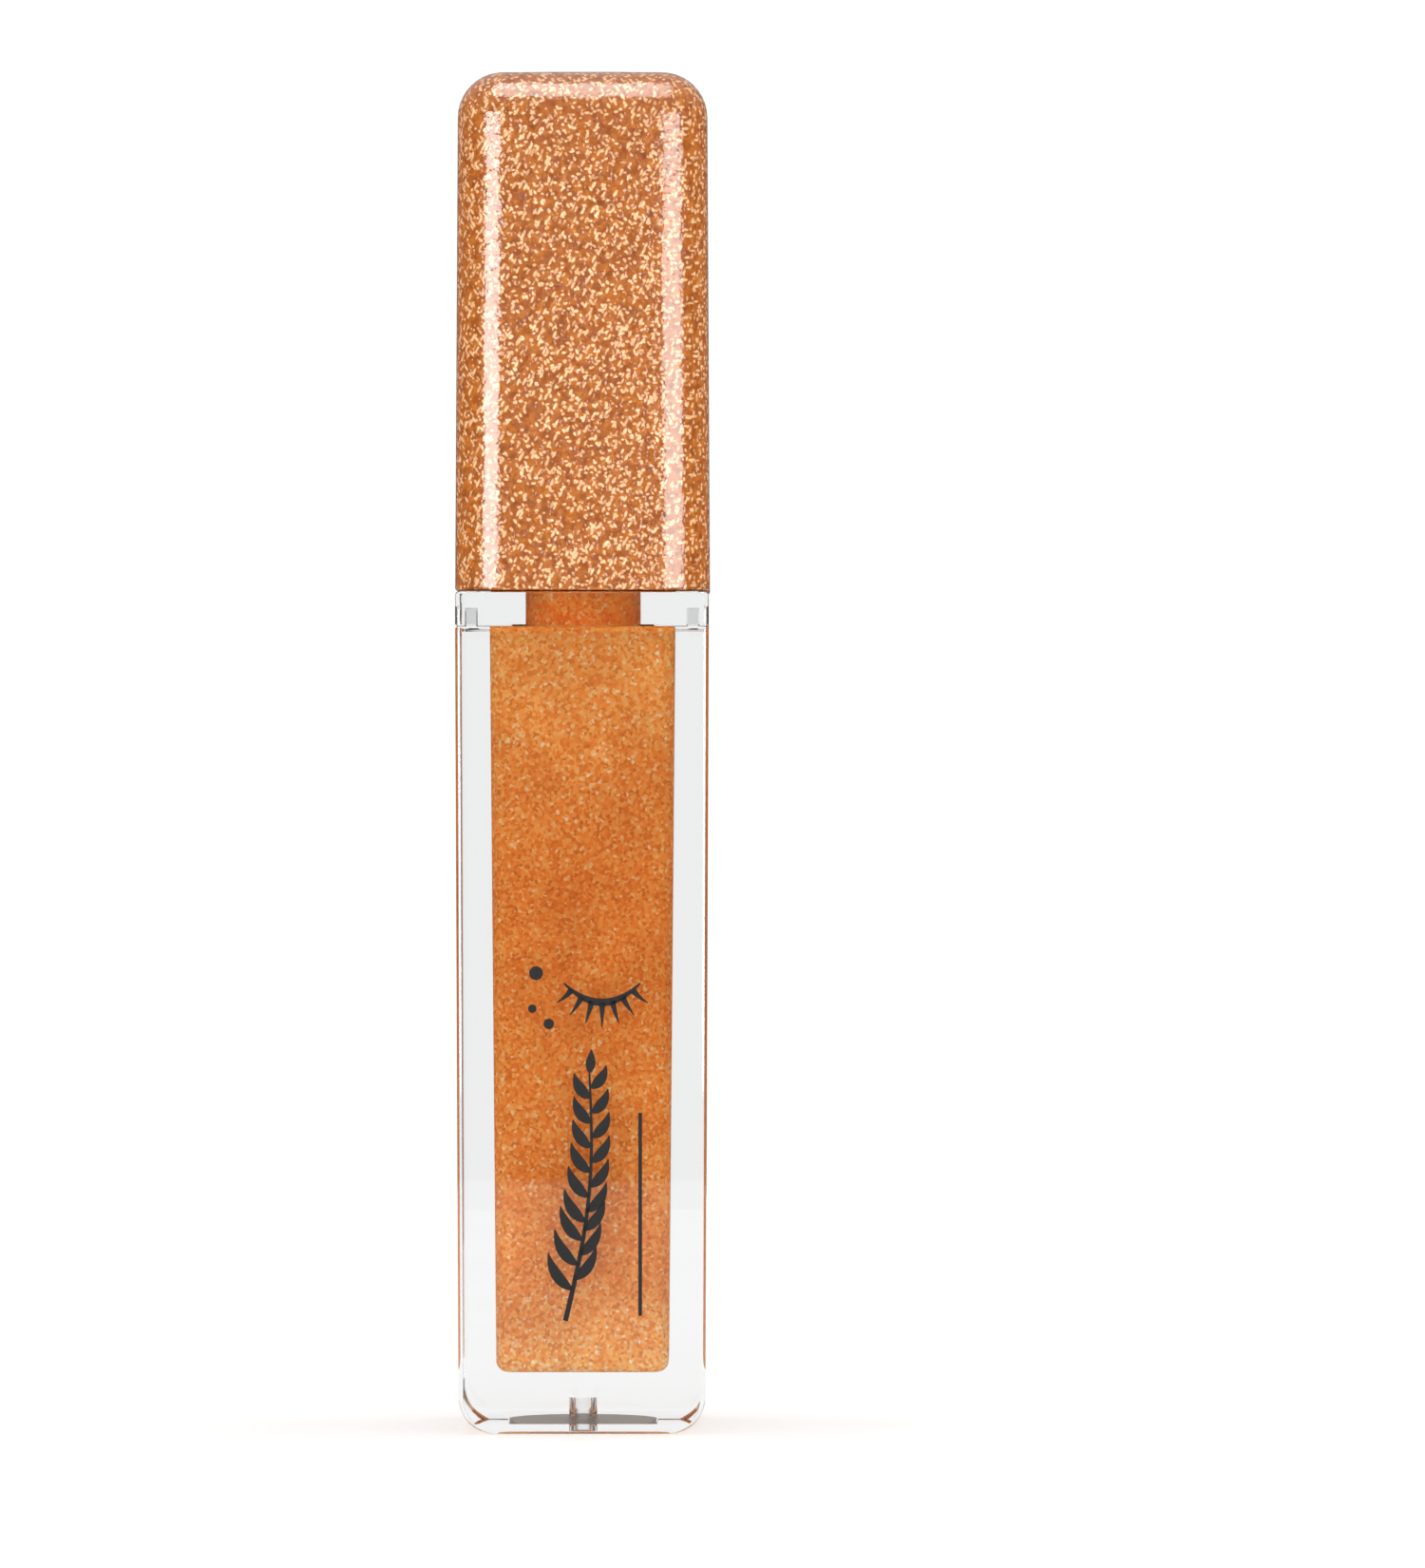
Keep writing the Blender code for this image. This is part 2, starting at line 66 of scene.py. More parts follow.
# Gaps: the one that the frame leaves between its solids, and the smaller ones of the pieces here
CAD_GAP = 0.3 * MM
SEAM_GAP = 0.05 * MM
CAP_GAP = 0.1 * MM
FLANGE_GAP = 0.1 * MM
ROD_GAP = 0.1 * MM
CONTACT = 0.03 * MM

# Bottle
RIM = NECK_LOW.z - CAD_GAP
SHOULDER = SHELL_LOW.z - CAD_GAP
BODY_DRAFT = 0.25 * MM
BODY_HALF_HIGH = BODY_HIGH.x
BODY_HALF_LOW = BODY_HALF_HIGH - BODY_DRAFT
BODY_CORNER = 0.4 * MM
BODY_EDGE = 3.0 * MM
BODY_FRONT_EDGE = 1.0 * MM
RIM_BEVEL = 0.12 * MM
CAVITY_FLOOR = GEL_LOW.z - CAD_GAP
CAVITY_HALF_LOW = 6.8 * MM
CAVITY_HALF_HIGH = GEL_HIGH.x + CAD_GAP
CAVITY_CORNER = 1.6 * MM
CAVITY_EDGE = 0.9 * MM
LABEL_RECESS_R = LABEL_HIGH.x + CAD_GAP
LABEL_RECESS_DEPTH = 0.8 * MM
GATE_R = 1.15 * MM
GATE_DEPTH = 1.7 * MM
TONGUE_X = 8.75 * MM
TONGUE_WIDTH = 0.8 * MM
TONGUE_LENGTH = 15.0 * MM
TONGUE_TOP = BODY_HIGH.z
GROOVE_GAP = 0.1 * MM
OVERCUT = 0.5 * MM

# Neck
NECK_R = 5.8 * MM
BORE_R = 4.55 * MM
THREAD_PITCH = 2.5 * MM
THREAD_TURNS = 1.75
THREAD_HEIGHT = 0.7 * MM
THREAD_ROOT = 1.3 * MM
THREAD_CREST = 0.6 * MM
THREAD_BITE = 0.25 * MM
THREAD_TAPERS_PER_LENGTH = 14
THREAD_THINNEST = 0.12
NECK_THREAD_START = SHOULDER + 3.6 * MM
CAP_THREAD_START = NECK_THREAD_START + THREAD_PITCH / 2

# Cap
CAP_RIM = SHOULDER + CAP_GAP
CAP_DRAFT = 0.2 * MM
CAP_HALF_LOW = SHELL_HIGH.x
CAP_HALF_HIGH = CAP_HALF_LOW - CAP_DRAFT
CAP_CORNER = 3.8 * MM
CAP_EDGE = 3.6 * MM
CAP_CROWN = 0.3 * MM
CAP_WALL = 1.3 * MM
SKIRT_BORE_R = 7.3 * MM
SKIRT_R = 8.1 * MM
SOCKET_R = 3.1 * MM
SOCKET_TOP = ROD_HIGH.z + 1.5 * MM
CEILING = 1.2 * MM
RIB_THICK = 1.2 * MM
RIB_MARGIN = 1.2 * MM
RIB_CHAMFER = 2.0 * MM
RIB_BITE = 0.4 * MM

# Brush
STARTS = 2
TURNS = 7
BRUSH_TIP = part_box("bristle_row_01")[0].z
BRUSH_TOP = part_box(f"bristle_row_{STARTS * TURNS:02d}")[1].z
BRUSH_R = 3.8 * MM
BRUSH_TIP_R = 2.55 * MM
BRUSH_TAPER = 9.3 * MM
ROW_THICK = 0.5 * MM
BRUSH_PITCH = (BRUSH_TOP - BRUSH_TIP - ROW_THICK) / TURNS
FIBRES = 120
CORE_FIBRES = 230
FIBRE_R = 0.055 * MM
FIBRE_ROOT = 0.3 * MM

# Wire and rod
WIRE_R = 0.30 * MM
WIRE_HELIX_R = 0.35 * MM
WIRE_UNTWISTED = 1.2 * MM
ROD_BORE_R = 0.95 * MM
ROD_BORE_DEPTH = 6.4 * MM
ROD_EDGE = 0.3 * MM

# Fineness of the meshes
CORNER_STEPS = 12
SIDE_POINTS = 7
EDGE_STEPS = 10
OUTLINE_POINTS = 4 * (CORNER_STEPS + 1 + SIDE_POINTS)
TURNED_SIDES = 96
ROD_EDGE_STEPS = 4
WIRE_STEPS_PER_TURN = 28
WIRE_BEND_STEPS = 12
WIRE_SIDES = 12
FIBRE_SEGMENTS = 4
FIBRE_SIDES = 3

# Flakes in the cap's lacquer, which lie in three ways
FLAKE_SPACING = 0.42 * MM
FLAKE_STRETCH = 3.0
FLAKE_TURNS = ((0.3, 0.4, 0.2), (-0.3, 1.5, 0.4), (0.4, 2.5, -0.3))

# Front print: ink, spray, eyelid with lashes, rule and dots
INK_LOW = 0.004 * MM
INK_HIGH = 0.03 * MM
LID_X = 1.6 * MM
LID_Z = 35.6 * MM
LID_HALF = 3.0 * MM
LID_DROP = 1.5 * MM

# Camera: a long lens level with the middle of the tube
LENS_MM = 180
SENSOR_MM = 36
VIEW_HEIGHT = 125.5 * MM
CAMERA_SIDE = 10.3 * MM
CAMERA_HEIGHT = 51.3 * MM

# Stage
TABLE_R = 0.35
LIGHTS_AIM = 70 * MM


# ---------------------------------------------------------------- mesh tools


def add_piece(name, bm, material, body, stands_for=(), sharp=30):
    """Turn a bmesh into a named piece that rides on a body and stands for CAD nodes."""
    bmesh.ops.recalc_face_normals(bm, faces=bm.faces)
    mesh = bpy.data.meshes.new(name)
    bm.to_mesh(mesh)
    bm.free()
    mesh.shade_smooth()
    mesh.set_sharp_from_angle(angle=radians(sharp))
    piece = bpy.data.objects.new(name, mesh)
    bpy.context.scene.collection.objects.link(piece)
    mesh.materials.append(material)
    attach(piece, body)
    if stands_for:
        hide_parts(*stands_for)
    return piece


def even_normals(piece):
    """Let the flat faces keep their own normals, so that only the round edges look round."""
    weighted = piece.modifiers.new("weighted_normal", "WEIGHTED_NORMAL")
    weighted.keep_sharp = True
    weighted.weight = 100


def square_outline(half, corner, half_y=None):
    """Points of a square with round corners, counter-clockwise from the +X side.

    A second half width makes it a rectangle.
    """
    inset_x = half - corner
    inset_y = (half_y or half) - corner
    sides = (
        (1, 1, 0, inset_x),
        (-1, 1, pi / 2, inset_y),
        (-1, -1, pi, inset_x),
        (1, -1, 3 * pi / 2, inset_y),
    )
    outline = []
    for sx, sy, start, inset in sides:
        arc = []
        for step in range(CORNER_STEPS + 1):
            angle = start + pi / 2 * step / CORNER_STEPS
            arc.append((sx * inset_x + corner * cos(angle), sy * inset_y + corner * sin(angle)))
        outline += arc
        end_x, end_y = arc[-1]
        for step in range(1, SIDE_POINTS + 1):
            away = 2 * inset * step / (SIDE_POINTS + 1)
            outline.append((end_x - away * sin(start + pi / 2), end_y + away * cos(start + pi / 2)))
    return outline


def round_outline(radius):
    """Points of a circle that pair off with those of a square outline."""
    first = pi / 4 - CORNER_STEPS / 2 * tau / OUTLINE_POINTS
    angles = [first + tau * i / OUTLINE_POINTS for i in range(OUTLINE_POINTS)]
    return [(radius * cos(a), radius * sin(a)) for a in angles]


def ring(outline, z):
    """An outline lifted to a level."""
    return [(x, y, z) for x, y in outline]


def loft(rings, closed=False):
    """Skin rings of equal length. An open loft has its first and last ring filled."""
    bm = bmesh.new()
    rows = [[bm.verts.new(point) for point in points] for points in rings]
    pairs = list(zip(rows, rows[1:]))
    if closed:
        pairs.append((rows[-1], rows[0]))
    for lower, upper in pairs:
        for i, vert in enumerate(lower):
            j = (i + 1) % len(lower)
            bm.faces.new((vert, lower[j], upper[j], upper[i]))
    if not closed:
        bm.faces.new(reversed(rows[0]))
        bm.faces.new(rows[-1])
    return bm


def turned(profile, closed=True, sides=TURNED_SIDES):
    """A solid of revolution about Z from (radius, level) points, ring-shaped if closed."""
    angles = [tau * i / sides for i in range(sides)]
    return loft([[(r * cos(a), r * sin(a), z) for a in angles] for r, z in profile], closed)


def edge_arc(half, edge, level, upwards):
    """Half widths and levels of a quarter round between a flat end and a side."""
    steps = []
    for step in range(EDGE_STEPS + 1):
        angle = pi / 2 * step / EDGE_STEPS
        rise = edge * (1 - cos(angle))
        steps.append((half - edge + edge * sin(angle), level + rise if upwards else level - rise))
    return steps


def square_rings(steps, corner):
    """Rings of a square section, whose corner radius shrinks only where it must."""
    widest = max(half for half, _ in steps)
    return [ring(square_outline(half, max(corner - (widest - half), 0.25 * corner)), z) for half, z in steps]


def base_rings():
    """Rings of the bottle's lower edge, rounder at the sides than at the front and back."""
    rings = []
    for half, z in edge_arc(BODY_HALF_LOW, BODY_EDGE, 0.0, True):
        short = BODY_FRONT_EDGE - min(z, BODY_FRONT_EDGE)
        half_y = BODY_HALF_LOW - BODY_FRONT_EDGE + sqrt(BODY_FRONT_EDGE**2 - short**2)
        rings.append(ring(square_outline(half, BODY_CORNER, half_y), z))
    return rings


def thread_ridge(radius, start, outwards):
    """One right-handed ridge along a cylinder's wall, with tapering ends."""
    steps = int(THREAD_TURNS * TURNED_SIDES)
    sign = 1 if outwards else -1
    run_out = steps / THREAD_TAPERS_PER_LENGTH
    rings = []
    for step in range(steps + 1):
        angle = tau * THREAD_TURNS * step / steps
        centre = start + THREAD_PITCH * angle / tau
        fade = min(1.0, THREAD_THINNEST + min(step, steps - step) / run_out)
        crest = radius + sign * THREAD_HEIGHT * fade
        root = radius - sign * THREAD_BITE
        corners = (
            (root, centre - THREAD_ROOT / 2),
            (crest, centre - THREAD_CREST / 2),
            (crest, centre + THREAD_CREST / 2),
            (root, centre + THREAD_ROOT / 2),
        )
        rings.append([(r * cos(angle), r * sin(angle), z) for r, z in corners])
    return loft(rings)


def bar_along_y(x, width, length, low, high):
    """A straight bar along Y, centred at x."""
    corners = ((-1, -1), (1, -1), (1, 1), (-1, 1))
    outline = [(x + sx * width / 2, sy * length / 2) for sx, sy in corners]
    return loft([ring(outline, low), ring(outline, high)])


def combined(base, others, operation="UNION"):
    """A closed bmesh with others joined to it or cut out of it, as a new bmesh."""
    objects = []
    for index, bm in enumerate([base] + others):
        bmesh.ops.recalc_face_normals(bm, faces=bm.faces)
        mesh = bpy.data.meshes.new(f"boolean_part_{index}")
        bm.to_mesh(mesh)
        bm.free()
        helper = bpy.data.objects.new(mesh.name, mesh)
        bpy.context.scene.collection.objects.link(helper)
        objects.append(helper)
    for helper in objects[1:]:
        boolean = objects[0].modifiers.new(helper.name, "BOOLEAN")
        boolean.operation = operation
        boolean.solver = "EXACT"
        boolean.object = helper
    evaluated = objects[0].evaluated_get(bpy.context.evaluated_depsgraph_get())
    result = bmesh.new()
    result.from_mesh(evaluated.to_mesh())
    evaluated.to_mesh_clear()
    for helper in objects:
        mesh = helper.data
        bpy.data.objects.remove(helper)
        bpy.data.meshes.remove(mesh)
    return result


# ----------------------------------------------------------------- materials


class Shade:
    """A material under construction: its Principled shader and short calls for its nodes."""

    def __init__(self, name, **values):
        self.material = bpy.data.materials.new(name)
        self.material.use_nodes = True
        self.tree = self.material.node_tree
        self.shader = self.tree.nodes["Principled BSDF"]
        for socket, value in values.items():
            self.shader.inputs[socket.replace("_", " ")].default_value = value
        self.coords = self.node("ShaderNodeTexCoord").outputs["Object"]

    def node(self, kind, **settings):
        """A new node with its settings."""
        made = self.tree.nodes.new(kind)
        for key, value in settings.items():
            setattr(made, key, value)
        return made

    def link(self, source, target):
        self.tree.links.new(source, target)

    def wire(self, source, socket):
        """Feed one of the shader's own sockets."""
        self.link(source, self.shader.inputs[socket])

    def noise(self, size, detail=2.0, roughness=0.5, distortion=0.0, coords=None):
        """Noise whose features are about that many metres across."""
        made = self.node("ShaderNodeTexNoise")
        made.inputs["Scale"].default_value = 1 / size
        made.inputs["Detail"].default_value = detail
        made.inputs["Roughness"].default_value = roughness
        made.inputs["Distortion"].default_value = distortion
        self.link(coords or self.coords, made.inputs["Vector"])
        return made

    def cells(self, size, coords=None):
        """Voronoi cells about that many metres across."""
        made = self.node("ShaderNodeTexVoronoi")
        made.inputs["Scale"].default_value = 1 / size
        self.link(coords or self.coords, made.inputs["Vector"])
        return made

    def ramp(self, source, *stops):
        """A colour ramp from (position, (r, g, b)) stops."""
        made = self.node("ShaderNodeValToRGB")
        elements = made.color_ramp.elements
        while len(elements) < len(stops):
            elements.new(0.5)
        for element, (position, colour) in zip(elements, stops):
            element.position = position
            element.color = (*colour, 1.0)
        self.link(source, made.inputs["Fac"])
        return made.outputs["Color"]

    def scale_range(self, source, low, high, start=0.0, end=1.0):
        """A value mapped from start..end to low..high."""
        made = self.node("ShaderNodeMapRange")
        for socket, value in (("From Min", start), ("From Max", end), ("To Min", low), ("To Max", high)):
            made.inputs[socket].default_value = value
        self.link(source, made.inputs["Value"])
        return made.outputs["Result"]

    def maths(self, operation, first, second):
        """Two values, each a number or a socket, put through a Math node."""
        made = self.node("ShaderNodeMath", operation=operation)
        for socket, value in zip(made.inputs, (first, second)):
            if isinstance(value, (int, float)):
                socket.default_value = value
            else:
                self.link(value, socket)
        return made.outputs["Value"]

    def mix(self, factor, first, second, blend="MIX"):
        """Two colours mixed by a factor, which may be a number or a socket."""
        made = self.node("ShaderNodeMix", data_type="RGBA", blend_type=blend)
        sockets = (made.inputs["Factor"], made.inputs[6], made.inputs[7])
        for socket, value in zip(sockets, (factor, first, second)):
            if isinstance(value, (int, float)):
                socket.default_value = value
            elif isinstance(value, tuple):
                socket.default_value = (*value, 1.0)
            else:
                self.link(value, socket)
        return made.outputs[2]

    def vectors(self, operation, first, second=None):
        """One or two vectors, each a tuple or a socket, put through a Vector Math node."""
        made = self.node("ShaderNodeVectorMath", operation=operation)
        for socket, value in zip(made.inputs, (first, second)):
            if isinstance(value, tuple):
                socket.default_value = value
            elif value is not None:
                self.link(value, socket)
        return made.outputs["Vector"]

    def scaled(self, vector, amount):
        """A vector times a number."""
        made = self.node("ShaderNodeVectorMath", operation="SCALE")
        self.link(vector, made.inputs["Vector"])
        made.inputs["Scale"].default_value = amount
        return made.outputs["Vector"]

    def centred(self, colour):
        """A colour as a vector that leans every way about zero."""
        return self.vectors("SUBTRACT", colour, (0.5, 0.5, 0.5))

    def bump(self, height, depth, strength=1.0):
        """A bump of that many metres, as a normal."""
        made = self.node("ShaderNodeBump")
        made.inputs["Strength"].default_value = strength
        made.inputs["Distance"].default_value = depth
        self.link(height, made.inputs["Height"])
        return made.outputs["Normal"]


def tilted_flakes(shade, colour, amount):
    """A normal that leans a random way in each flake, so that single flakes flash."""
    normal = shade.node("ShaderNodeNewGeometry").outputs["Normal"]
    leaned = shade.vectors("ADD", normal, shade.scaled(shade.centred(colour), amount))
    return shade.vectors("NORMALIZE", leaned)


def wandering(shade, size, amount):
    """Texture coordinates pushed about by noise, so that cells get ragged outlines."""
    push = shade.centred(shade.noise(size, 1.0).outputs["Color"])
    return shade.vectors("ADD", shade.coords, shade.scaled(push, amount))


def dashes(shade, coords, rotation):
    """Short flakes that all lie one way: the middles of cells stretched along a turned axis."""
    laid = shade.node("ShaderNodeMapping", vector_type="TEXTURE")
    laid.inputs["Rotation"].default_value = rotation
    laid.inputs["Scale"].default_value = (1.0, 1.0, FLAKE_STRETCH)
    shade.link(coords, laid.inputs["Vector"])
    cells = shade.cells(FLAKE_SPACING, laid.outputs["Vector"])
    return shade.scale_range(cells.outputs["Distance"], 1.0, 0.0, start=0.21, end=0.33)


def glitter_lacquer():
    """Short pale flakes, tilted every way, in deep copper lacquer under a clear glossy coat."""
    shade = Shade(
        "glitter_lacquer",
        Roughness=0.34,
        Specular_IOR_Level=0.08,
        Coat_Weight=1.0,
        Coat_Roughness=0.10,
    )
    ragged = wandering(shade, 0.45 * MM, 0.3 * MM)
    cells = shade.cells(0.40 * MM, ragged)
    bent = wandering(shade, 0.5 * MM, 0.14 * MM)
    flakes = dashes(shade, bent, FLAKE_TURNS[0])
    for rotation in FLAKE_TURNS[1:]:
        flakes = shade.maths("MAXIMUM", flakes, dashes(shade, bent, rotation))
    depth = shade.noise(0.6 * MM, 2.0, 0.6, coords=ragged)
    deep = shade.ramp(depth.outputs["Fac"], (0.35, (0.41, 0.096, 0.004)), (0.65, (0.61, 0.178, 0.015)))
    tones = shade.mix(flakes, deep, (0.97, 0.58, 0.30))
    single = shade.ramp(
        cells.outputs["Color"],
        (0.0, (0.66, 0.52, 0.44)),
        (0.5, (0.95, 0.92, 0.90)),
        (1.0, (1.30, 1.38, 1.50)),
    )
    shade.wire(shade.mix(0.8, tones, single, "MULTIPLY"), "Base Color")
    shade.wire(shade.scale_range(flakes, 0.0, 0.06), "Metallic")
    shade.wire(tilted_flakes(shade, cells.outputs["Color"], 0.4), "Normal")
    coat = shade.noise(0.42 * MM, 1.5, 0.5)
    shade.wire(shade.bump(coat.outputs["Fac"], 0.075 * MM, 0.6), "Coat Normal")
    return shade.material


def glitter_gel():
    """Copper gel with fine flakes, cloudy and darker through the middle height, paler towards the cavity
    floor and up to the rim, with pale flecks settled at the bottom and a painted glow where it fills the
    neck above the rim.
    """
    shade = Shade("glitter_gel", Roughness=0.5, Specular_IOR_Level=0.1)
    cells = shade.cells(0.24 * MM, wandering(shade, 0.3 * MM, 0.2 * MM))
    clouds = shade.noise(8 * MM, 3.0, 0.6, 0.5)
    tones = shade.ramp(
        cells.outputs["Color"],
        (0.0, (0.66, 0.145, 0.013)),
        (0.45, (0.94, 0.260, 0.038)),
        (0.8, (0.97, 0.42, 0.10)),
        (1.0, (0.98, 0.74, 0.42)),
    )
    cloudy = shade.ramp(clouds.outputs["Fac"], (0.32, (0.86, 0.78, 0.70)), (0.66, (1.05, 1.10, 1.15)))
    height = shade.node("ShaderNodeSeparateXYZ")
    shade.link(shade.coords, height.inputs["Vector"])
    level = shade.scale_range(height.outputs["Z"], 0.0, 1.0, CAVITY_FLOOR, RIM)
    # Tint by height: paler and bluer towards the cavity floor, darker through the middle, paler again up to
    # the rim. Above the rim, in the neck, the colour is raised to about one and a half times itself as a
    # painted glow.
    height_tint_and_neck_glow = shade.ramp(
        level,
        (0.0, (1.10, 1.45, 1.9)),
        (0.12, (1.04, 1.12, 1.25)),
        (0.45, (0.94, 0.90, 0.80)),
        (0.65, (0.88, 0.80, 0.66)),
        (0.992, (1.06, 1.26, 1.5)),
        (1.0, (1.6, 1.55, 1.3)),
    )
    body = shade.mix(1.0, shade.mix(1.0, tones, cloudy, "MULTIPLY"), height_tint_and_neck_glow, "MULTIPLY")
    flecks = shade.cells(0.5 * MM, wandering(shade, 0.5 * MM, 0.4 * MM))
    settled = shade.scale_range(level, 0.75, 0.0, 0.0, 0.14)
    pale = shade.ramp(flecks.outputs["Distance"], (0.18, (1.0,) * 3), (0.4, (0.0,) * 3))
    amount = shade.maths("MULTIPLY", pale, settled)
    shade.wire(shade.mix(amount, body, (0.98, 0.72, 0.46)), "Base Color")
    shade.wire(tilted_flakes(shade, cells.outputs["Color"], 0.35), "Normal")
    return shade.material


def clear_plastic(name, roughness=0.02, tint=(0.86, 0.865, 0.865)):
    """Polished clear plastic with the faintest waviness of a moulding."""
    shade = Shade(
        name,
        Base_Color=(*tint, 1.0),
        Roughness=roughness,
        IOR=1.49,
        Transmission_Weight=1.0,
    )
    waves = shade.noise(6 * MM, 1.0, 0.4)
    shade.wire(shade.bump(waves.outputs["Fac"], 0.01 * MM, 0.2), "Normal")
    return shade.material


def moulded_plastic(name, colour, roughness, translucency=0.0):
    """Satin moulded plastic with a fine grain and slightly uneven gloss."""
    shade = Shade(name, Roughness=roughness, Subsurface_Weight=translucency)
    shade.shader.inputs["Subsurface Scale"].default_value = 1 * MM
    grain = shade.noise(0.25 * MM, 3.0)
    patches = shade.noise(3 * MM, 2.0)
    darker = tuple(0.93 * c for c in colour)
    shade.wire(shade.ramp(patches.outputs["Fac"], (0.3, darker), (0.7, colour)), "Base Color")
    shade.wire(shade.scale_range(grain.outputs["Fac"], roughness - 0.06, roughness + 0.08), "Roughness")
    shade.wire(shade.bump(grain.outputs["Fac"], 0.02 * MM, 0.3), "Normal")
    return shade.material


def foam():
    """White closed-cell foam with visible pores, each painted darker in its hollow as shade."""
    shade = Shade("foam", Roughness=0.85)
    pores = shade.cells(0.18 * MM)
    # Painted shade: each pore is darker towards its middle, where the bump sinks its hollow.
    tone = shade.ramp(pores.outputs["Distance"], (0.0, (0.55, 0.55, 0.53)), (0.5, (0.9, 0.9, 0.88)))
    shade.wire(tone, "Base Color")
    shade.wire(shade.bump(pores.outputs["Distance"], 0.06 * MM, 0.6), "Normal")
    return shade.material


def drawn_wire():
    """Dull drawn steel wire with fine scratches and dark residue."""
    shade = Shade("drawn_wire", Metallic=1.0, Roughness=0.4)
    scratches = shade.noise(0.15 * MM, 4.0, 0.7)
    tone = shade.ramp(scratches.outputs["Fac"], (0.3, (0.10, 0.10, 0.105)), (0.7, (0.34, 0.34, 0.35)))
    shade.wire(tone, "Base Color")
    shade.wire(shade.scale_range(scratches.outputs["Fac"], 0.3, 0.5), "Roughness")
    return shade.material


def bristle_nylon():
    """Black nylon fibre with browner patches and a grey sheen."""
    shade = Shade("bristle_nylon", Roughness=0.42)
    tone = shade.noise(0.6 * MM, 2.0)
    colour = shade.ramp(tone.outputs["Fac"], (0.3, (0.012, 0.010, 0.009)), (0.75, (0.055, 0.042, 0.034)))
    shade.wire(colour, "Base Color")
    shade.wire(shade.scale_range(tone.outputs["Fac"], 0.3, 0.55), "Roughness")
    return shade.material


def printing_ink():
    """Black screen-printed ink, slightly uneven."""
    shade = Shade("printing_ink", Roughness=0.55, Specular_IOR_Level=0.15)
    grain = shade.noise(0.2 * MM, 3.0)
    tone = shade.ramp(grain.outputs["Fac"], (0.3, (0.003, 0.003, 0.003)), (0.8, (0.012, 0.010, 0.010)))
    shade.wire(tone, "Base Color")
    shade.wire(shade.bump(grain.outputs["Fac"], 0.01 * MM, 0.4), "Normal")
    return shade.material


def label_film():
    """Grey satin label film with a paper grain."""
    shade = Shade("label_film", Roughness=0.4)
    grain = shade.noise(0.3 * MM, 4.0, 0.6)
    tone = shade.ramp(grain.outputs["Fac"], (0.3, (0.20, 0.20, 0.205)), (0.7, (0.27, 0.27, 0.275)))
    shade.wire(tone, "Base Color")
    shade.wire(shade.scale_range(grain.outputs["Fac"], 0.32, 0.5), "Roughness")
    return shade.material


# -------------------------------------------------------------- bottle pieces


def side_bars(width, length, low, high):
    """A bar on the left and one on the right of the rim, where the weld tongues run."""
    return [bar_along_y(x, width, length, low, high) for x in (-TONGUE_X, TONGUE_X)]


def make_bottle(material):
    """Thick clear cup: base recesses, drafted sides, rim with its weld tongues, drafted cavity."""
    recess = LABEL_RECESS_DEPTH
    gate_middle = 0.3 * GATE_R
    rings = [
        ring(round_outline(gate_middle), recess + GATE_DEPTH),
        ring(round_outline(GATE_R), recess + GATE_DEPTH),
        ring(round_outline(GATE_R), recess),
        ring(round_outline(LABEL_RECESS_R), recess),
        ring(round_outline(LABEL_RECESS_R), 0.0),
    ]
    rings += base_rings()
    rings += [
        ring(square_outline(BODY_HALF_HIGH, BODY_CORNER), RIM - RIM_BEVEL),
        ring(square_outline(BODY_HALF_HIGH - RIM_BEVEL, BODY_CORNER - RIM_BEVEL), RIM),
        ring(square_outline(CAVITY_HALF_HIGH, CAVITY_CORNER), RIM),
    ]
    floor = square_rings(edge_arc(CAVITY_HALF_LOW, CAVITY_EDGE, CAVITY_FLOOR, True), CAVITY_CORNER)
    rings += reversed(floor)
    tongues = side_bars(TONGUE_WIDTH, TONGUE_LENGTH, RIM - OVERCUT, TONGUE_TOP)
    bm = combined(loft(rings), tongues)
    piece = add_piece("clear_bottle", bm, material, "bottle", ["bottle_body"])
    even_normals(piece)


def make_neck(material):
    """Clear plate with the weld grooves below it and the threaded neck above it."""
    low = RIM + SEAM_GAP
    bevel = 0.25 * MM
    side = BODY_HALF_HIGH
    profile = (
        (side - RIM_BEVEL, BODY_CORNER - RIM_BEVEL, low),
        (side, BODY_CORNER, low + RIM_BEVEL),
        (side, BODY_CORNER, SHOULDER - bevel),
        (side - bevel / 3, BODY_CORNER - bevel / 3, SHOULDER - bevel / 3),
        (side - bevel, BODY_CORNER - bevel, SHOULDER),
    )
    rings = [ring(round_outline(BORE_R), low)]
    rings += [ring(square_outline(half, corner), z) for half, corner, z in profile]
    rings += [
        ring(round_outline(NECK_R), SHOULDER),
        ring(round_outline(NECK_R), NECK_HIGH.z - bevel),
        ring(round_outline(NECK_R - bevel), NECK_HIGH.z),
        ring(round_outline(BORE_R), NECK_HIGH.z),
    ]
    thread = thread_ridge(NECK_R, NECK_THREAD_START, outwards=True)
    width = TONGUE_WIDTH + 2 * GROOVE_GAP
    length = TONGUE_LENGTH + 2 * GROOVE_GAP
    grooves = side_bars(width, length, low - OVERCUT, TONGUE_TOP + GROOVE_GAP)
    bm = combined(combined(loft(rings, closed=True), [thread]), grooves, "DIFFERENCE")
    piece = add_piece("clear_neck", bm, material, "bottle", ["neck_piece"])
    even_normals(piece)


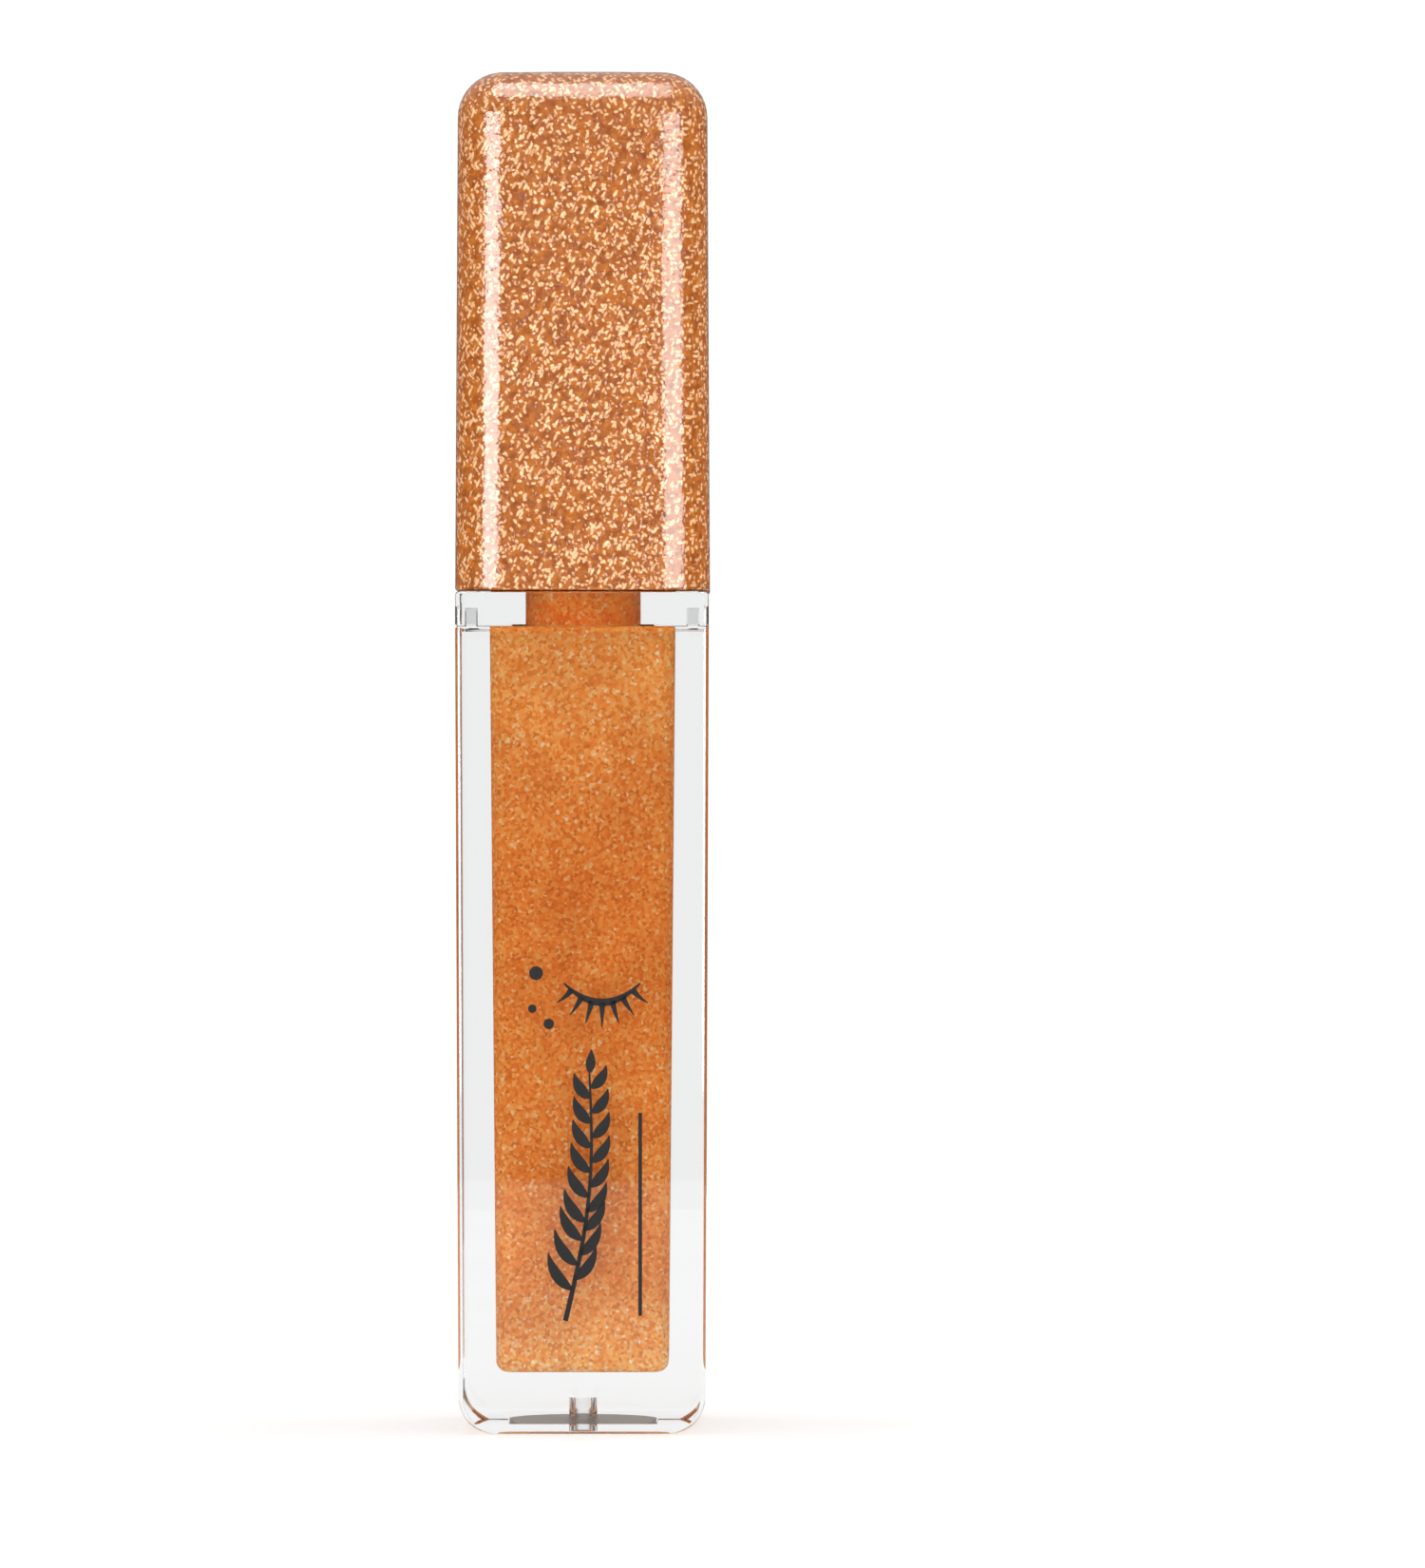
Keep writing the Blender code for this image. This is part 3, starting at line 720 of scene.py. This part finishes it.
def make_gel(material):
    """The product against the cavity's wall and in the neck, with the bore the brush stands in."""
    neck_r = BORE_R + CONTACT
    bore_r = 4.0 * MM
    brush_gap = 0.6 * MM
    above_seam = RIM + SEAM_GAP + CONTACT
    steps = edge_arc(CAVITY_HALF_LOW + CONTACT, CAVITY_EDGE, CAVITY_FLOOR - CONTACT, True)
    top = ring(square_outline(CAVITY_HALF_HIGH + CONTACT, CAVITY_CORNER + CONTACT), RIM - CONTACT)
    rings = square_rings(steps, CAVITY_CORNER + CONTACT)
    rings += [
        top,
        ring(square_outline(CAVITY_HALF_HIGH - 2 * CONTACT, CAVITY_CORNER), above_seam),
        ring(round_outline(neck_r), above_seam),
        ring(round_outline(neck_r), GEL_HIGH.z),
        ring(round_outline(bore_r), GEL_HIGH.z),
        ring(round_outline(bore_r), BRUSH_TIP + BRUSH_TAPER),
        ring(round_outline(BRUSH_TIP_R + brush_gap), BRUSH_TIP - brush_gap),
    ]
    piece = add_piece("gel_fill", loft(rings), material, "bottle", ["glitter_gel"])
    even_normals(piece)


def make_wiper(material):
    """Soft sleeve with a rolled flange, a retaining bead and a thin lip round the rod."""
    flange_low = NECK_HIGH.z + FLANGE_GAP
    top = WIPER_HIGH.z
    low = WIPER_LOW.z
    outer = 4.4 * MM
    inner = 3.95 * MM
    lip = 2.05 * MM
    cone = 2.6 * MM
    land = 0.7 * MM
    bead = 0.1 * MM
    profile = [
        (WIPER_HIGH.x - 0.15 * MM, flange_low),
        (WIPER_HIGH.x, flange_low + 0.15 * MM),
        (WIPER_HIGH.x, top - 0.2 * MM),
        (WIPER_HIGH.x - 0.2 * MM, top),
        (inner + 0.45 * MM, top),
        (inner + 0.12 * MM, top - 0.15 * MM),
        (inner, top - 0.5 * MM),
        (inner, low + land + cone),
        (inner - 0.25 * MM, low + land + cone - 0.5 * MM),
        (lip + 0.2 * MM, low + land + 0.25 * MM),
        (lip, low + land),
        (lip, low + 0.1 * MM),
        (lip + 0.1 * MM, low),
        (lip + 0.35 * MM, low),
        (outer - 0.25 * MM, low + cone - 0.4 * MM),
        (outer, low + cone),
        (outer, flange_low - 3.2 * MM),
        (outer + bead, flange_low - 3.0 * MM),
        (outer, flange_low - 2.8 * MM),
        (outer, flange_low),
    ]
    add_piece("wiper_sleeve", turned(profile), material, "bottle", ["wiper"])


def make_base_sticker(material):
    """Round label that is glued into the base recess, with a rounded rim."""
    radius = LABEL_RECESS_R + CONTACT
    low, high = LABEL_LOW.z, LABEL_RECESS_DEPTH + CONTACT
    soft = (high - low) / 4
    profile = (
        (radius - soft, low),
        (radius, low + soft),
        (radius, high - soft),
        (radius - soft, high),
    )
    bm = turned(profile, closed=False)
    add_piece("base_sticker", bm, material, "bottle", ["base_label"])


# ----------------------------------------------------------- applicator pieces


def make_shell(material):
    """Square shell, open below, with large round edges and a slightly domed top."""
    top_edge = SHELL_HIGH.z - CAP_CROWN
    ceiling = SHELL_HIGH.z - CAP_WALL - CAP_CROWN
    bevel = 0.2 * MM
    sink = 0.03 * MM
    dome = [(CAP_HALF_HIGH * share, SHELL_HIGH.z - sink * share) for share in (0.1, 0.35)]
    outside = dome + edge_arc(CAP_HALF_HIGH, CAP_EDGE, top_edge, False)
    inside = edge_arc(CAP_HALF_HIGH - CAP_WALL, CAP_EDGE - CAP_WALL, ceiling, False)
    rings = square_rings(outside, CAP_CORNER)
    rings += [
        ring(square_outline(CAP_HALF_LOW, CAP_CORNER), CAP_RIM + bevel),
        ring(square_outline(CAP_HALF_LOW - bevel / 3, CAP_CORNER - bevel / 3), CAP_RIM + bevel / 3),
        ring(square_outline(CAP_HALF_LOW - bevel, CAP_CORNER - bevel), CAP_RIM),
        ring(square_outline(CAP_HALF_LOW - CAP_WALL, CAP_CORNER - CAP_WALL), CAP_RIM),
    ]
    rings += reversed(square_rings(inside, CAP_CORNER - CAP_WALL))
    piece = add_piece("lacquered_shell", loft(rings), material, "cap", ["cap_shell"])
    even_normals(piece)


def rib(along, low, top, half):
    """A rib across the shell that straddles the rod's socket."""
    leg = SOCKET_R - RIB_BITE
    crotch = SOCKET_TOP - RIB_BITE
    outline = (
        (-half, low - RIB_BITE),
        (-leg, low - RIB_BITE),
        (-leg, crotch),
        (leg, crotch),
        (leg, low - RIB_BITE),
        (half, low - RIB_BITE),
        (half, top - RIB_CHAMFER),
        (half - RIB_CHAMFER, top),
        (-half + RIB_CHAMFER, top),
        (-half, top - RIB_CHAMFER),
    )
    sides = (-RIB_THICK / 2, RIB_THICK / 2)
    if along == "X":
        return loft([[(across, side, z) for across, z in outline] for side in sides])
    return loft([[(side, across, z) for across, z in outline] for side in sides])


def make_insert(material):
    """Insert: threaded skirt, ceiling, rod socket, locating flange and ribs."""
    rod_hole = ROD_HIGH.x + ROD_GAP
    ceiling_low = WASHER_HIGH.z + CAD_GAP
    flange_top = ceiling_low + CEILING
    bevel = 0.15 * MM
    outer = square_outline(INSERT_HIGH.x, CAP_CORNER - CAP_WALL - CAD_GAP)
    rings = [
        ring(round_outline(rod_hole), ROD_HIGH.z + CAD_GAP),
        ring(round_outline(rod_hole), ceiling_low + bevel),
        ring(round_outline(rod_hole + bevel), ceiling_low),
        ring(round_outline(SKIRT_BORE_R), ceiling_low),
        ring(round_outline(SKIRT_BORE_R), INSERT_LOW.z + bevel),
        ring(round_outline(SKIRT_BORE_R + bevel), INSERT_LOW.z),
        ring(round_outline(SKIRT_R - bevel), INSERT_LOW.z),
        ring(round_outline(SKIRT_R), INSERT_LOW.z + bevel),
        ring(round_outline(SKIRT_R), ceiling_low),
        ring(outer, ceiling_low),
        ring(outer, flange_top),
        ring(round_outline(SOCKET_R), flange_top),
        ring(round_outline(SOCKET_R), SOCKET_TOP),
    ]
    ribs_half = CAP_HALF_HIGH - CAP_WALL - RIB_MARGIN
    ribs = [rib(along, flange_top, INSERT_HIGH.z, ribs_half) for along in ("X", "Y")]
    thread = thread_ridge(SKIRT_BORE_R, CAP_THREAD_START, outwards=False)
    bm = combined(loft(rings), [thread] + ribs)
    add_piece("threaded_insert", bm, material, "cap", ["inner_cap"])


def make_washer(material):
    """Foam ring with slightly soft edges."""
    low, high = WASHER_LOW.z, WASHER_HIGH.z
    inner = 2.2 * MM
    outer = WASHER_HIGH.x
    soft = 0.1 * MM
    profile = (
        (inner, low + soft),
        (inner + soft, low),
        (outer - soft, low),
        (outer, low + soft),
        (outer, high - soft),
        (outer - soft, high),
        (inner + soft, high),
        (inner, high - soft),
    )
    add_piece("foam_seal", turned(profile), material, "seal", ["seal_washer"])


def make_wand(material):
    """Clear round rod with a bore at its end for the wire."""
    radius = ROD_HIGH.x
    profile = [(ROD_BORE_R, ROD_LOW.z + ROD_BORE_DEPTH), (ROD_BORE_R, ROD_LOW.z)]
    for step in range(ROD_EDGE_STEPS + 1):
        angle = pi / 2 * step / ROD_EDGE_STEPS
        wide = radius - ROD_EDGE + ROD_EDGE * sin(angle)
        profile.append((wide, ROD_LOW.z + ROD_EDGE - ROD_EDGE * cos(angle)))
    profile += [(radius, ROD_HIGH.z - ROD_EDGE), (radius - ROD_EDGE, ROD_HIGH.z)]
    bm = turned(profile, closed=False)
    piece = add_piece("clear_wand", bm, material, "wand", ["wand_rod"])
    even_normals(piece)


def swept_tube(path, radius, sides):
    """A round tube along points, with flat ends, on frames that don't twist."""
    points = [Vector(p) for p in path]
    rings = []
    up = Vector((0.0, 1.0, 0.0))
    for i, point in enumerate(points):
        ahead = points[min(i + 1, len(points) - 1)]
        behind = points[max(i - 1, 0)]
        tangent = (ahead - behind).normalized()
        side = tangent.cross(up).normalized()
        up = side.cross(tangent).normalized()
        circle = [tau * k / sides for k in range(sides)]
        rings.append([point + radius * (side * cos(a) + up * sin(a)) for a in circle])
    return loft(rings)


def twist(rise):
    """Turns of the wire's twist at a height above the U at its tip."""
    if rise < WIRE_UNTWISTED:
        return rise * rise / (2 * WIRE_UNTWISTED) / BRUSH_PITCH
    return (rise - WIRE_UNTWISTED / 2) / BRUSH_PITCH


def make_wire(material):
    """One wire folded in a U at the tip, its legs twisted round each other."""
    low = WIRE_LOW.z + WIRE_R + WIRE_HELIX_R
    length = WIRE_HIGH.z - low
    steps = int(length / BRUSH_PITCH * WIRE_STEPS_PER_TURN)
    leg = []
    for step in range(steps + 1):
        rise = length * step / steps
        angle = -tau * twist(rise)
        leg.append((WIRE_HELIX_R * cos(angle), WIRE_HELIX_R * sin(angle), low + rise))
    bend = []
    for step in range(1, WIRE_BEND_STEPS):
        angle = pi * step / WIRE_BEND_STEPS
        bend.append((WIRE_HELIX_R * cos(angle), 0.0, low - WIRE_HELIX_R * sin(angle)))
    path = list(reversed(leg)) + bend + [(-x, -y, z) for x, y, z in leg]
    bm = swept_tube(path, WIRE_R, WIRE_SIDES)
    add_piece("folded_wire", bm, material, "cap", ["brush_wire"])


def brush_radius(z):
    """Outer radius of the bristles at a level: cylindrical, tapering to the tip."""
    along = min(max((z - BRUSH_TIP) / BRUSH_TAPER, 0.0), 1.0)
    return BRUSH_TIP_R + (BRUSH_R - BRUSH_TIP_R) * sin(along * pi / 2)


def add_fibre(bm, root, tip, sag):
    """One fibre as a thin three-sided taper that bows along its length."""
    rows = []
    along = (tip - root).normalized()
    side = along.cross(Vector((0.0, 0.0, 1.0))).normalized()
    up = side.cross(along)
    for step in range(FIBRE_SEGMENTS + 1):
        share = step / FIBRE_SEGMENTS
        centre = root.lerp(tip, share) + Vector((0.0, 0.0, sag * share * share))
        thick = FIBRE_R * (1.0 - 0.35 * share)
        row = []
        for k in range(FIBRE_SIDES):
            angle = tau * k / FIBRE_SIDES
            row.append(bm.verts.new(centre + thick * (side * cos(angle) + up * sin(angle))))
        rows.append(row)
    for lower, upper in zip(rows, rows[1:]):
        for k in range(FIBRE_SIDES):
            j = (k + 1) % FIBRE_SIDES
            bm.faces.new((lower[k], lower[j], upper[j], upper[k]))
    bm.faces.new(reversed(rows[0]))
    bm.faces.new(rows[-1])


def around(radius, angle, z):
    """The point at a radius, an angle and a level."""
    return Vector((radius * cos(angle), radius * sin(angle), z))


def add_core_fibres(bm, start, low, scatter):
    """Short fibres round one turn of one start, spread up and down, so that they hide the wire."""
    lowest = BRUSH_TIP + 0.1 * MM
    for index in range(CORE_FIBRES):
        share = (index + scatter.random()) / CORE_FIBRES
        angle = tau * (start / STARTS - share)
        z = low + BRUSH_PITCH * share
        middle = max(z + scatter.gauss(0.0, 0.40) * MM, lowest)
        reach = scatter.uniform(0.8, 1.35) * MM
        lift = scatter.gauss(0.0, 0.06) * MM
        add_fibre(bm, around(FIBRE_ROOT, angle, middle), around(reach, angle, middle + lift), 0.0)


def add_long_fibres(bm, start, low, scatter):
    """The ridge of one turn of one start: radial fibres with small random leans."""
    for index in range(FIBRES):
        share = (index + scatter.uniform(-0.4, 0.4)) / FIBRES
        angle = tau * (start / STARTS - share)
        z = low + BRUSH_PITCH * share
        reach = brush_radius(z) - scatter.uniform(0.0, 0.22) * MM
        lean = angle + scatter.gauss(0.0, 0.05)
        lift = scatter.gauss(0.0, 0.07) * MM
        sag = scatter.gauss(0.0, 0.05) * MM
        add_fibre(bm, around(FIBRE_ROOT, angle, z), around(reach, lean, z + lift), sag)


def make_fibre_row(start, turn, material):
    """All the fibres of one turn of one start."""
    number = turn * STARTS + start + 1
    node = f"bristle_row_{number:02d}"
    low = BRUSH_TIP + ROW_THICK / 2 + turn * BRUSH_PITCH
    scatter = random.Random(number)
    bm = bmesh.new()
    add_core_fibres(bm, start, low, scatter)
    add_long_fibres(bm, start, low, scatter)
    add_piece(f"fibre_row_{number:02d}", bm, material, "cap", [node], sharp=80)


# ------------------------------------------------------------------ front print


def front_point(x, z, proud):
    """A point on the bottle's drafted front face, standing proud of it."""
    half = BODY_HALF_LOW + (BODY_HALF_HIGH - BODY_HALF_LOW) * z / RIM
    return (x, -half - proud, z)


def print_solid(bm, outline):
    """A thin closed pad of ink from a flat (x, z) outline."""
    low = [bm.verts.new(front_point(x, z, INK_LOW)) for x, z in outline]
    high = [bm.verts.new(front_point(x, z, INK_HIGH)) for x, z in outline]
    bm.faces.new(low)
    bm.faces.new(reversed(high))
    for i, vert in enumerate(low):
        j = (i + 1) % len(low)
        bm.faces.new((vert, high[i], high[j], low[j]))


def stroke(bm, path, widths):
    """A pen stroke along (x, z) points whose width follows a list of the same length."""
    left, right = [], []
    for i, (x, z) in enumerate(path):
        ahead = path[min(i + 1, len(path) - 1)]
        behind = path[max(i - 1, 0)]
        dx, dz = ahead[0] - behind[0], ahead[1] - behind[1]
        length = hypot(dx, dz)
        nx, nz = -dz / length * widths[i] / 2, dx / length * widths[i] / 2
        left.append((x + nx, z + nz))
        right.append((x - nx, z - nz))
    print_solid(bm, left + right[::-1])


def dot(bm, x, z, radius):
    """A round printed dot."""
    sides = 28
    circle = [tau * i / sides for i in range(sides)]
    print_solid(bm, [(x + radius * cos(a), z + radius * sin(a)) for a in circle])


def tapered(count, widest, thinnest):
    """Widths that swell in the middle of a stroke and thin out at both its ends."""
    return [thinnest + (widest - thinnest) * sin(pi * i / (count - 1)) for i in range(count)]


def leaf(bm, x, z, angle, length, widest):
    """A pointed leaf that bends upwards from its root on the stem."""
    steps = 14
    path = []
    for i in range(steps + 1):
        along = i / steps
        bend = angle * (1 - 0.45 * along)
        path.append((x + length * along * sin(bend), z + length * along * cos(bend)))
    stroke(bm, path, [widest * sin(pi * (i / steps) ** 0.8) + 0.07 * MM for i in range(steps + 1)])


def print_spray(bm):
    """A curved stem with pairs of leaves and one leaf at its tip."""
    steps = 40
    stem = []
    widths = []
    for i in range(steps + 1):
        share = i / steps
        stem.append(((-1.3 + 1.9 * share + 0.9 * sin(pi * share)) * MM, (9.0 + 19.5 * share) * MM))
        widths.append((0.42 - 0.25 * share) * MM)
    stroke(bm, stem, widths)
    pairs = 9
    for number in range(pairs):
        share = 0.12 + 0.78 * number / (pairs - 1)
        x, z = stem[round(steps * share)]
        length = (3.7 - 1.5 * share) * MM
        leaf(bm, x, z, -1.05, length, 0.85 * MM)
        leaf(bm, x, z + 0.8 * MM, 1.1, 0.92 * length, 0.8 * MM)
    leaf(bm, *stem[-1], 0.15, 1.9 * MM, 0.7 * MM)


def lid_point(share):
    """A point of the eyelid's curve, from -1 at its left end to 1 at its right end."""
    return (LID_X + LID_HALF * share, LID_Z - LID_DROP * (1 - share * share))


def print_eyelid(bm):
    """A closed eyelid as one curved stroke, with lashes that fan out below it."""
    steps = 28
    lid = [lid_point(2 * i / steps - 1) for i in range(steps + 1)]
    stroke(bm, lid, tapered(len(lid), 0.6 * MM, 0.14 * MM))
    lashes = 7
    lash_steps = 8
    for lash in range(lashes):
        share = 2 * (lash + 0.5) / lashes - 1
        x, z = lid_point(0.94 * share)
        length = (2.0 - 0.5 * abs(share)) * MM
        path = []
        widths = []
        for i in range(lash_steps + 1):
            along = i / lash_steps
            angle = 0.75 * share * (1 + 0.35 * along)
            path.append((x + length * along * sin(angle), z - length * along * cos(angle)))
            widths.append((0.48 * (1 - along) + 0.06) * MM)
        stroke(bm, path, widths)


def make_print(material):
    """The spray under the eyelid, with a thin rule and three dots beside them."""
    bm = bmesh.new()
    print_spray(bm)
    print_eyelid(bm)
    rule = [(4.6 * MM, (9.4 + 1.6 * i) * MM) for i in range(11)]
    stroke(bm, rule, [0.3 * MM] * len(rule))
    for x, z, radius in ((-3.6, 36.4, 0.55), (-3.9, 33.6, 0.34), (-2.6, 32.4, 0.42)):
        dot(bm, x * MM, z * MM, radius * MM)
    add_piece("front_print", bm, material, "bottle")


# ------------------------------------------------------------------------ stage


def make_stage():
    """A round glowing white table with a faint polish, which fades into the white room."""
    shade = Shade("white_table", Roughness=0.9, Specular_IOR_Level=0.0, Emission_Strength=0.55)
    shade.shader.inputs["Emission Color"].default_value = (1.0, 1.0, 1.0, 1.0)
    grain = shade.noise(20 * MM, 2.0)
    tone = shade.ramp(grain.outputs["Fac"], (0.3, (0.60, 0.60, 0.60)), (0.7, (0.62, 0.62, 0.62)))
    shade.wire(tone, "Base Color")
    polish = shade.node("ShaderNodeBsdfGlossy")
    polish.inputs["Roughness"].default_value = 0.1
    blend = shade.node("ShaderNodeMixShader")
    blend.inputs["Fac"].default_value = 0.07
    output = shade.tree.nodes["Material Output"]
    shade.link(shade.shader.outputs["BSDF"], blend.inputs[1])
    shade.link(polish.outputs["BSDF"], blend.inputs[2])
    shade.link(blend.outputs["Shader"], output.inputs["Surface"])
    bm = bmesh.new()
    bmesh.ops.create_circle(bm, cap_ends=True, segments=TURNED_SIDES, radius=TABLE_R)
    mesh = bpy.data.meshes.new("table_top")
    bm.to_mesh(mesh)
    bm.free()
    mesh.materials.append(shade.material)
    table = bpy.data.objects.new("table_top", mesh)
    bpy.context.scene.collection.objects.link(table)


def softbox(name, azimuth, height, distance, size, radiance):
    """A rectangular light at an azimuth from the front, aimed at the tube, seen only as gloss."""
    data = bpy.data.lights.new(name, "AREA")
    data.shape = "RECTANGLE"
    data.size, data.size_y = size
    data.energy = radiance * pi * size[0] * size[1]
    lamp = bpy.data.objects.new(name, data)
    angle = radians(azimuth)
    lamp.location = (distance * sin(angle), -distance * cos(angle), height)
    aim = Vector((0.0, 0.0, LIGHTS_AIM)) - lamp.location
    lamp.rotation_mode = "QUATERNION"
    lamp.rotation_quaternion = aim.to_track_quat("-Z", "Y")
    lamp.visible_diffuse = False
    lamp.visible_transmission = False
    lamp.visible_camera = False
    bpy.context.scene.collection.objects.link(lamp)


class World:
    """Short calls for the nodes of the studio's background."""

    def __init__(self):
        self.world = bpy.data.worlds.new("studio")
        self.world.use_nodes = True
        self.tree = self.world.node_tree
        self.ray = self.tree.nodes.new("ShaderNodeLightPath")
        self.direction = self.tree.nodes.new("ShaderNodeTexCoord").outputs["Generated"]

    def towards(self, lean, start, end, low, high):
        """A strength that follows how far a direction leans towards a vector."""
        along = self.tree.nodes.new("ShaderNodeVectorMath")
        along.operation = "DOT_PRODUCT"
        self.tree.links.new(self.direction, along.inputs[0])
        along.inputs[1].default_value = lean
        return self.between(along.outputs["Value"], start, end, low, high)

    def sideways(self, start, end, low, high):
        """A strength that follows how far a direction leans along X, either way."""
        split = self.tree.nodes.new("ShaderNodeSeparateXYZ")
        self.tree.links.new(self.direction, split.inputs["Vector"])
        size = self.tree.nodes.new("ShaderNodeMath")
        size.operation = "ABSOLUTE"
        self.tree.links.new(split.outputs["X"], size.inputs[0])
        return self.between(size.outputs["Value"], start, end, low, high)

    def between(self, value, start, end, low, high):
        """A value mapped from start..end to low..high."""
        room = self.tree.nodes.new("ShaderNodeMapRange")
        for socket, number in (("From Min", start), ("From Max", end), ("To Min", low), ("To Max", high)):
            room.inputs[socket].default_value = number
        self.tree.links.new(value, room.inputs["Value"])
        return room.outputs["Result"]

    def greater(self, first, second):
        """The greater of two strengths."""
        pick = self.tree.nodes.new("ShaderNodeMath")
        pick.operation = "MAXIMUM"
        self.tree.links.new(first, pick.inputs[0])
        self.tree.links.new(second, pick.inputs[1])
        return pick.outputs["Value"]

    def choose(self, kind, other, wanted):
        """The wanted strength for one kind of ray, and the other for the rest."""
        made = self.tree.nodes.new("ShaderNodeMix")
        self.tree.links.new(self.ray.outputs[f"Is {kind} Ray"], made.inputs["Factor"])
        for socket, value in ((made.inputs[2], other), (made.inputs[3], wanted)):
            if isinstance(value, float):
                socket.default_value = value
            else:
                self.tree.links.new(value, socket)
        return made.outputs[0]


def make_world():
    """A white room.

    Matt surfaces get an even light, a little stronger from the sides. Glossy ones see a room that is
    bright only overhead. Through clear plastic the sides are dark, which draws its edges, but for a
    bright panel at the end of each side.
    """
    studio = World()
    glossy = studio.towards((0.0, 0.0, 1.0), start=0.0, end=0.8, low=0.10, high=0.9)
    dark_sides = studio.sideways(start=0.5, end=0.9, low=1.02, high=0.15)
    side_panels = studio.sideways(start=0.975, end=0.995, low=0.0, high=1.0)
    through = studio.greater(dark_sides, side_panels)
    even = studio.sideways(start=0.3, end=1.0, low=0.88, high=1.25)
    strength = studio.choose("Diffuse", glossy, even)
    strength = studio.choose("Transmission", strength, through)
    strength = studio.choose("Camera", strength, 1.05)
    background = studio.tree.nodes["Background"]
    studio.tree.links.new(strength, background.inputs["Strength"])
    background.inputs["Color"].default_value = (1.0, 1.0, 1.0, 1.0)
    bpy.context.scene.world = studio.world


def make_camera():
    """A long lens, level, with the tube left of the middle of the picture."""
    data = bpy.data.cameras.new("camera")
    data.lens = LENS_MM
    data.sensor_width = SENSOR_MM
    distance = VIEW_HEIGHT * LENS_MM / SENSOR_MM
    data.clip_start = distance * 0.05
    data.clip_end = distance * 200
    camera = bpy.data.objects.new("camera", data)
    camera.location = (CAMERA_SIDE, -distance, CAMERA_HEIGHT)
    camera.rotation_euler = (pi / 2, 0.0, 0.0)
    bpy.context.scene.collection.objects.link(camera)
    bpy.context.scene.camera = camera


def make_lights():
    """A softbox at each side in front for the cap's streaks, and a broad one above for its top edge."""
    softbox("left_box", azimuth=-30, height=0.10, distance=0.55, size=(0.36, 0.2), radiance=14.0)
    softbox("right_box", azimuth=30, height=0.10, distance=0.55, size=(0.48, 0.2), radiance=10.0)
    softbox("top_box", azimuth=0, height=0.8, distance=0.25, size=(0.6, 0.6), radiance=7.0)


def build():
    """The studio and every piece of the tube."""
    make_camera()
    make_stage()
    make_world()
    make_lights()
    clear = clear_plastic("bottle_plastic")
    make_bottle(clear)
    make_neck(clear)
    make_gel(glitter_gel())
    make_wiper(moulded_plastic("soft_polythene", (0.86, 0.85, 0.82), 0.45, 0.3))
    make_base_sticker(label_film())
    make_print(printing_ink())
    make_shell(glitter_lacquer())
    make_insert(moulded_plastic("insert_plastic", (0.86, 0.86, 0.85), 0.35, 0.15))
    make_washer(foam())
    make_wand(clear_plastic("wand_plastic", 0.05))
    make_wire(drawn_wire())
    nylon = bristle_nylon()
    for turn in range(TURNS):
        for start in range(STARTS):
            make_fibre_row(start, turn, nylon)
    bpy.context.scene.view_settings.view_transform = "Standard"


build()
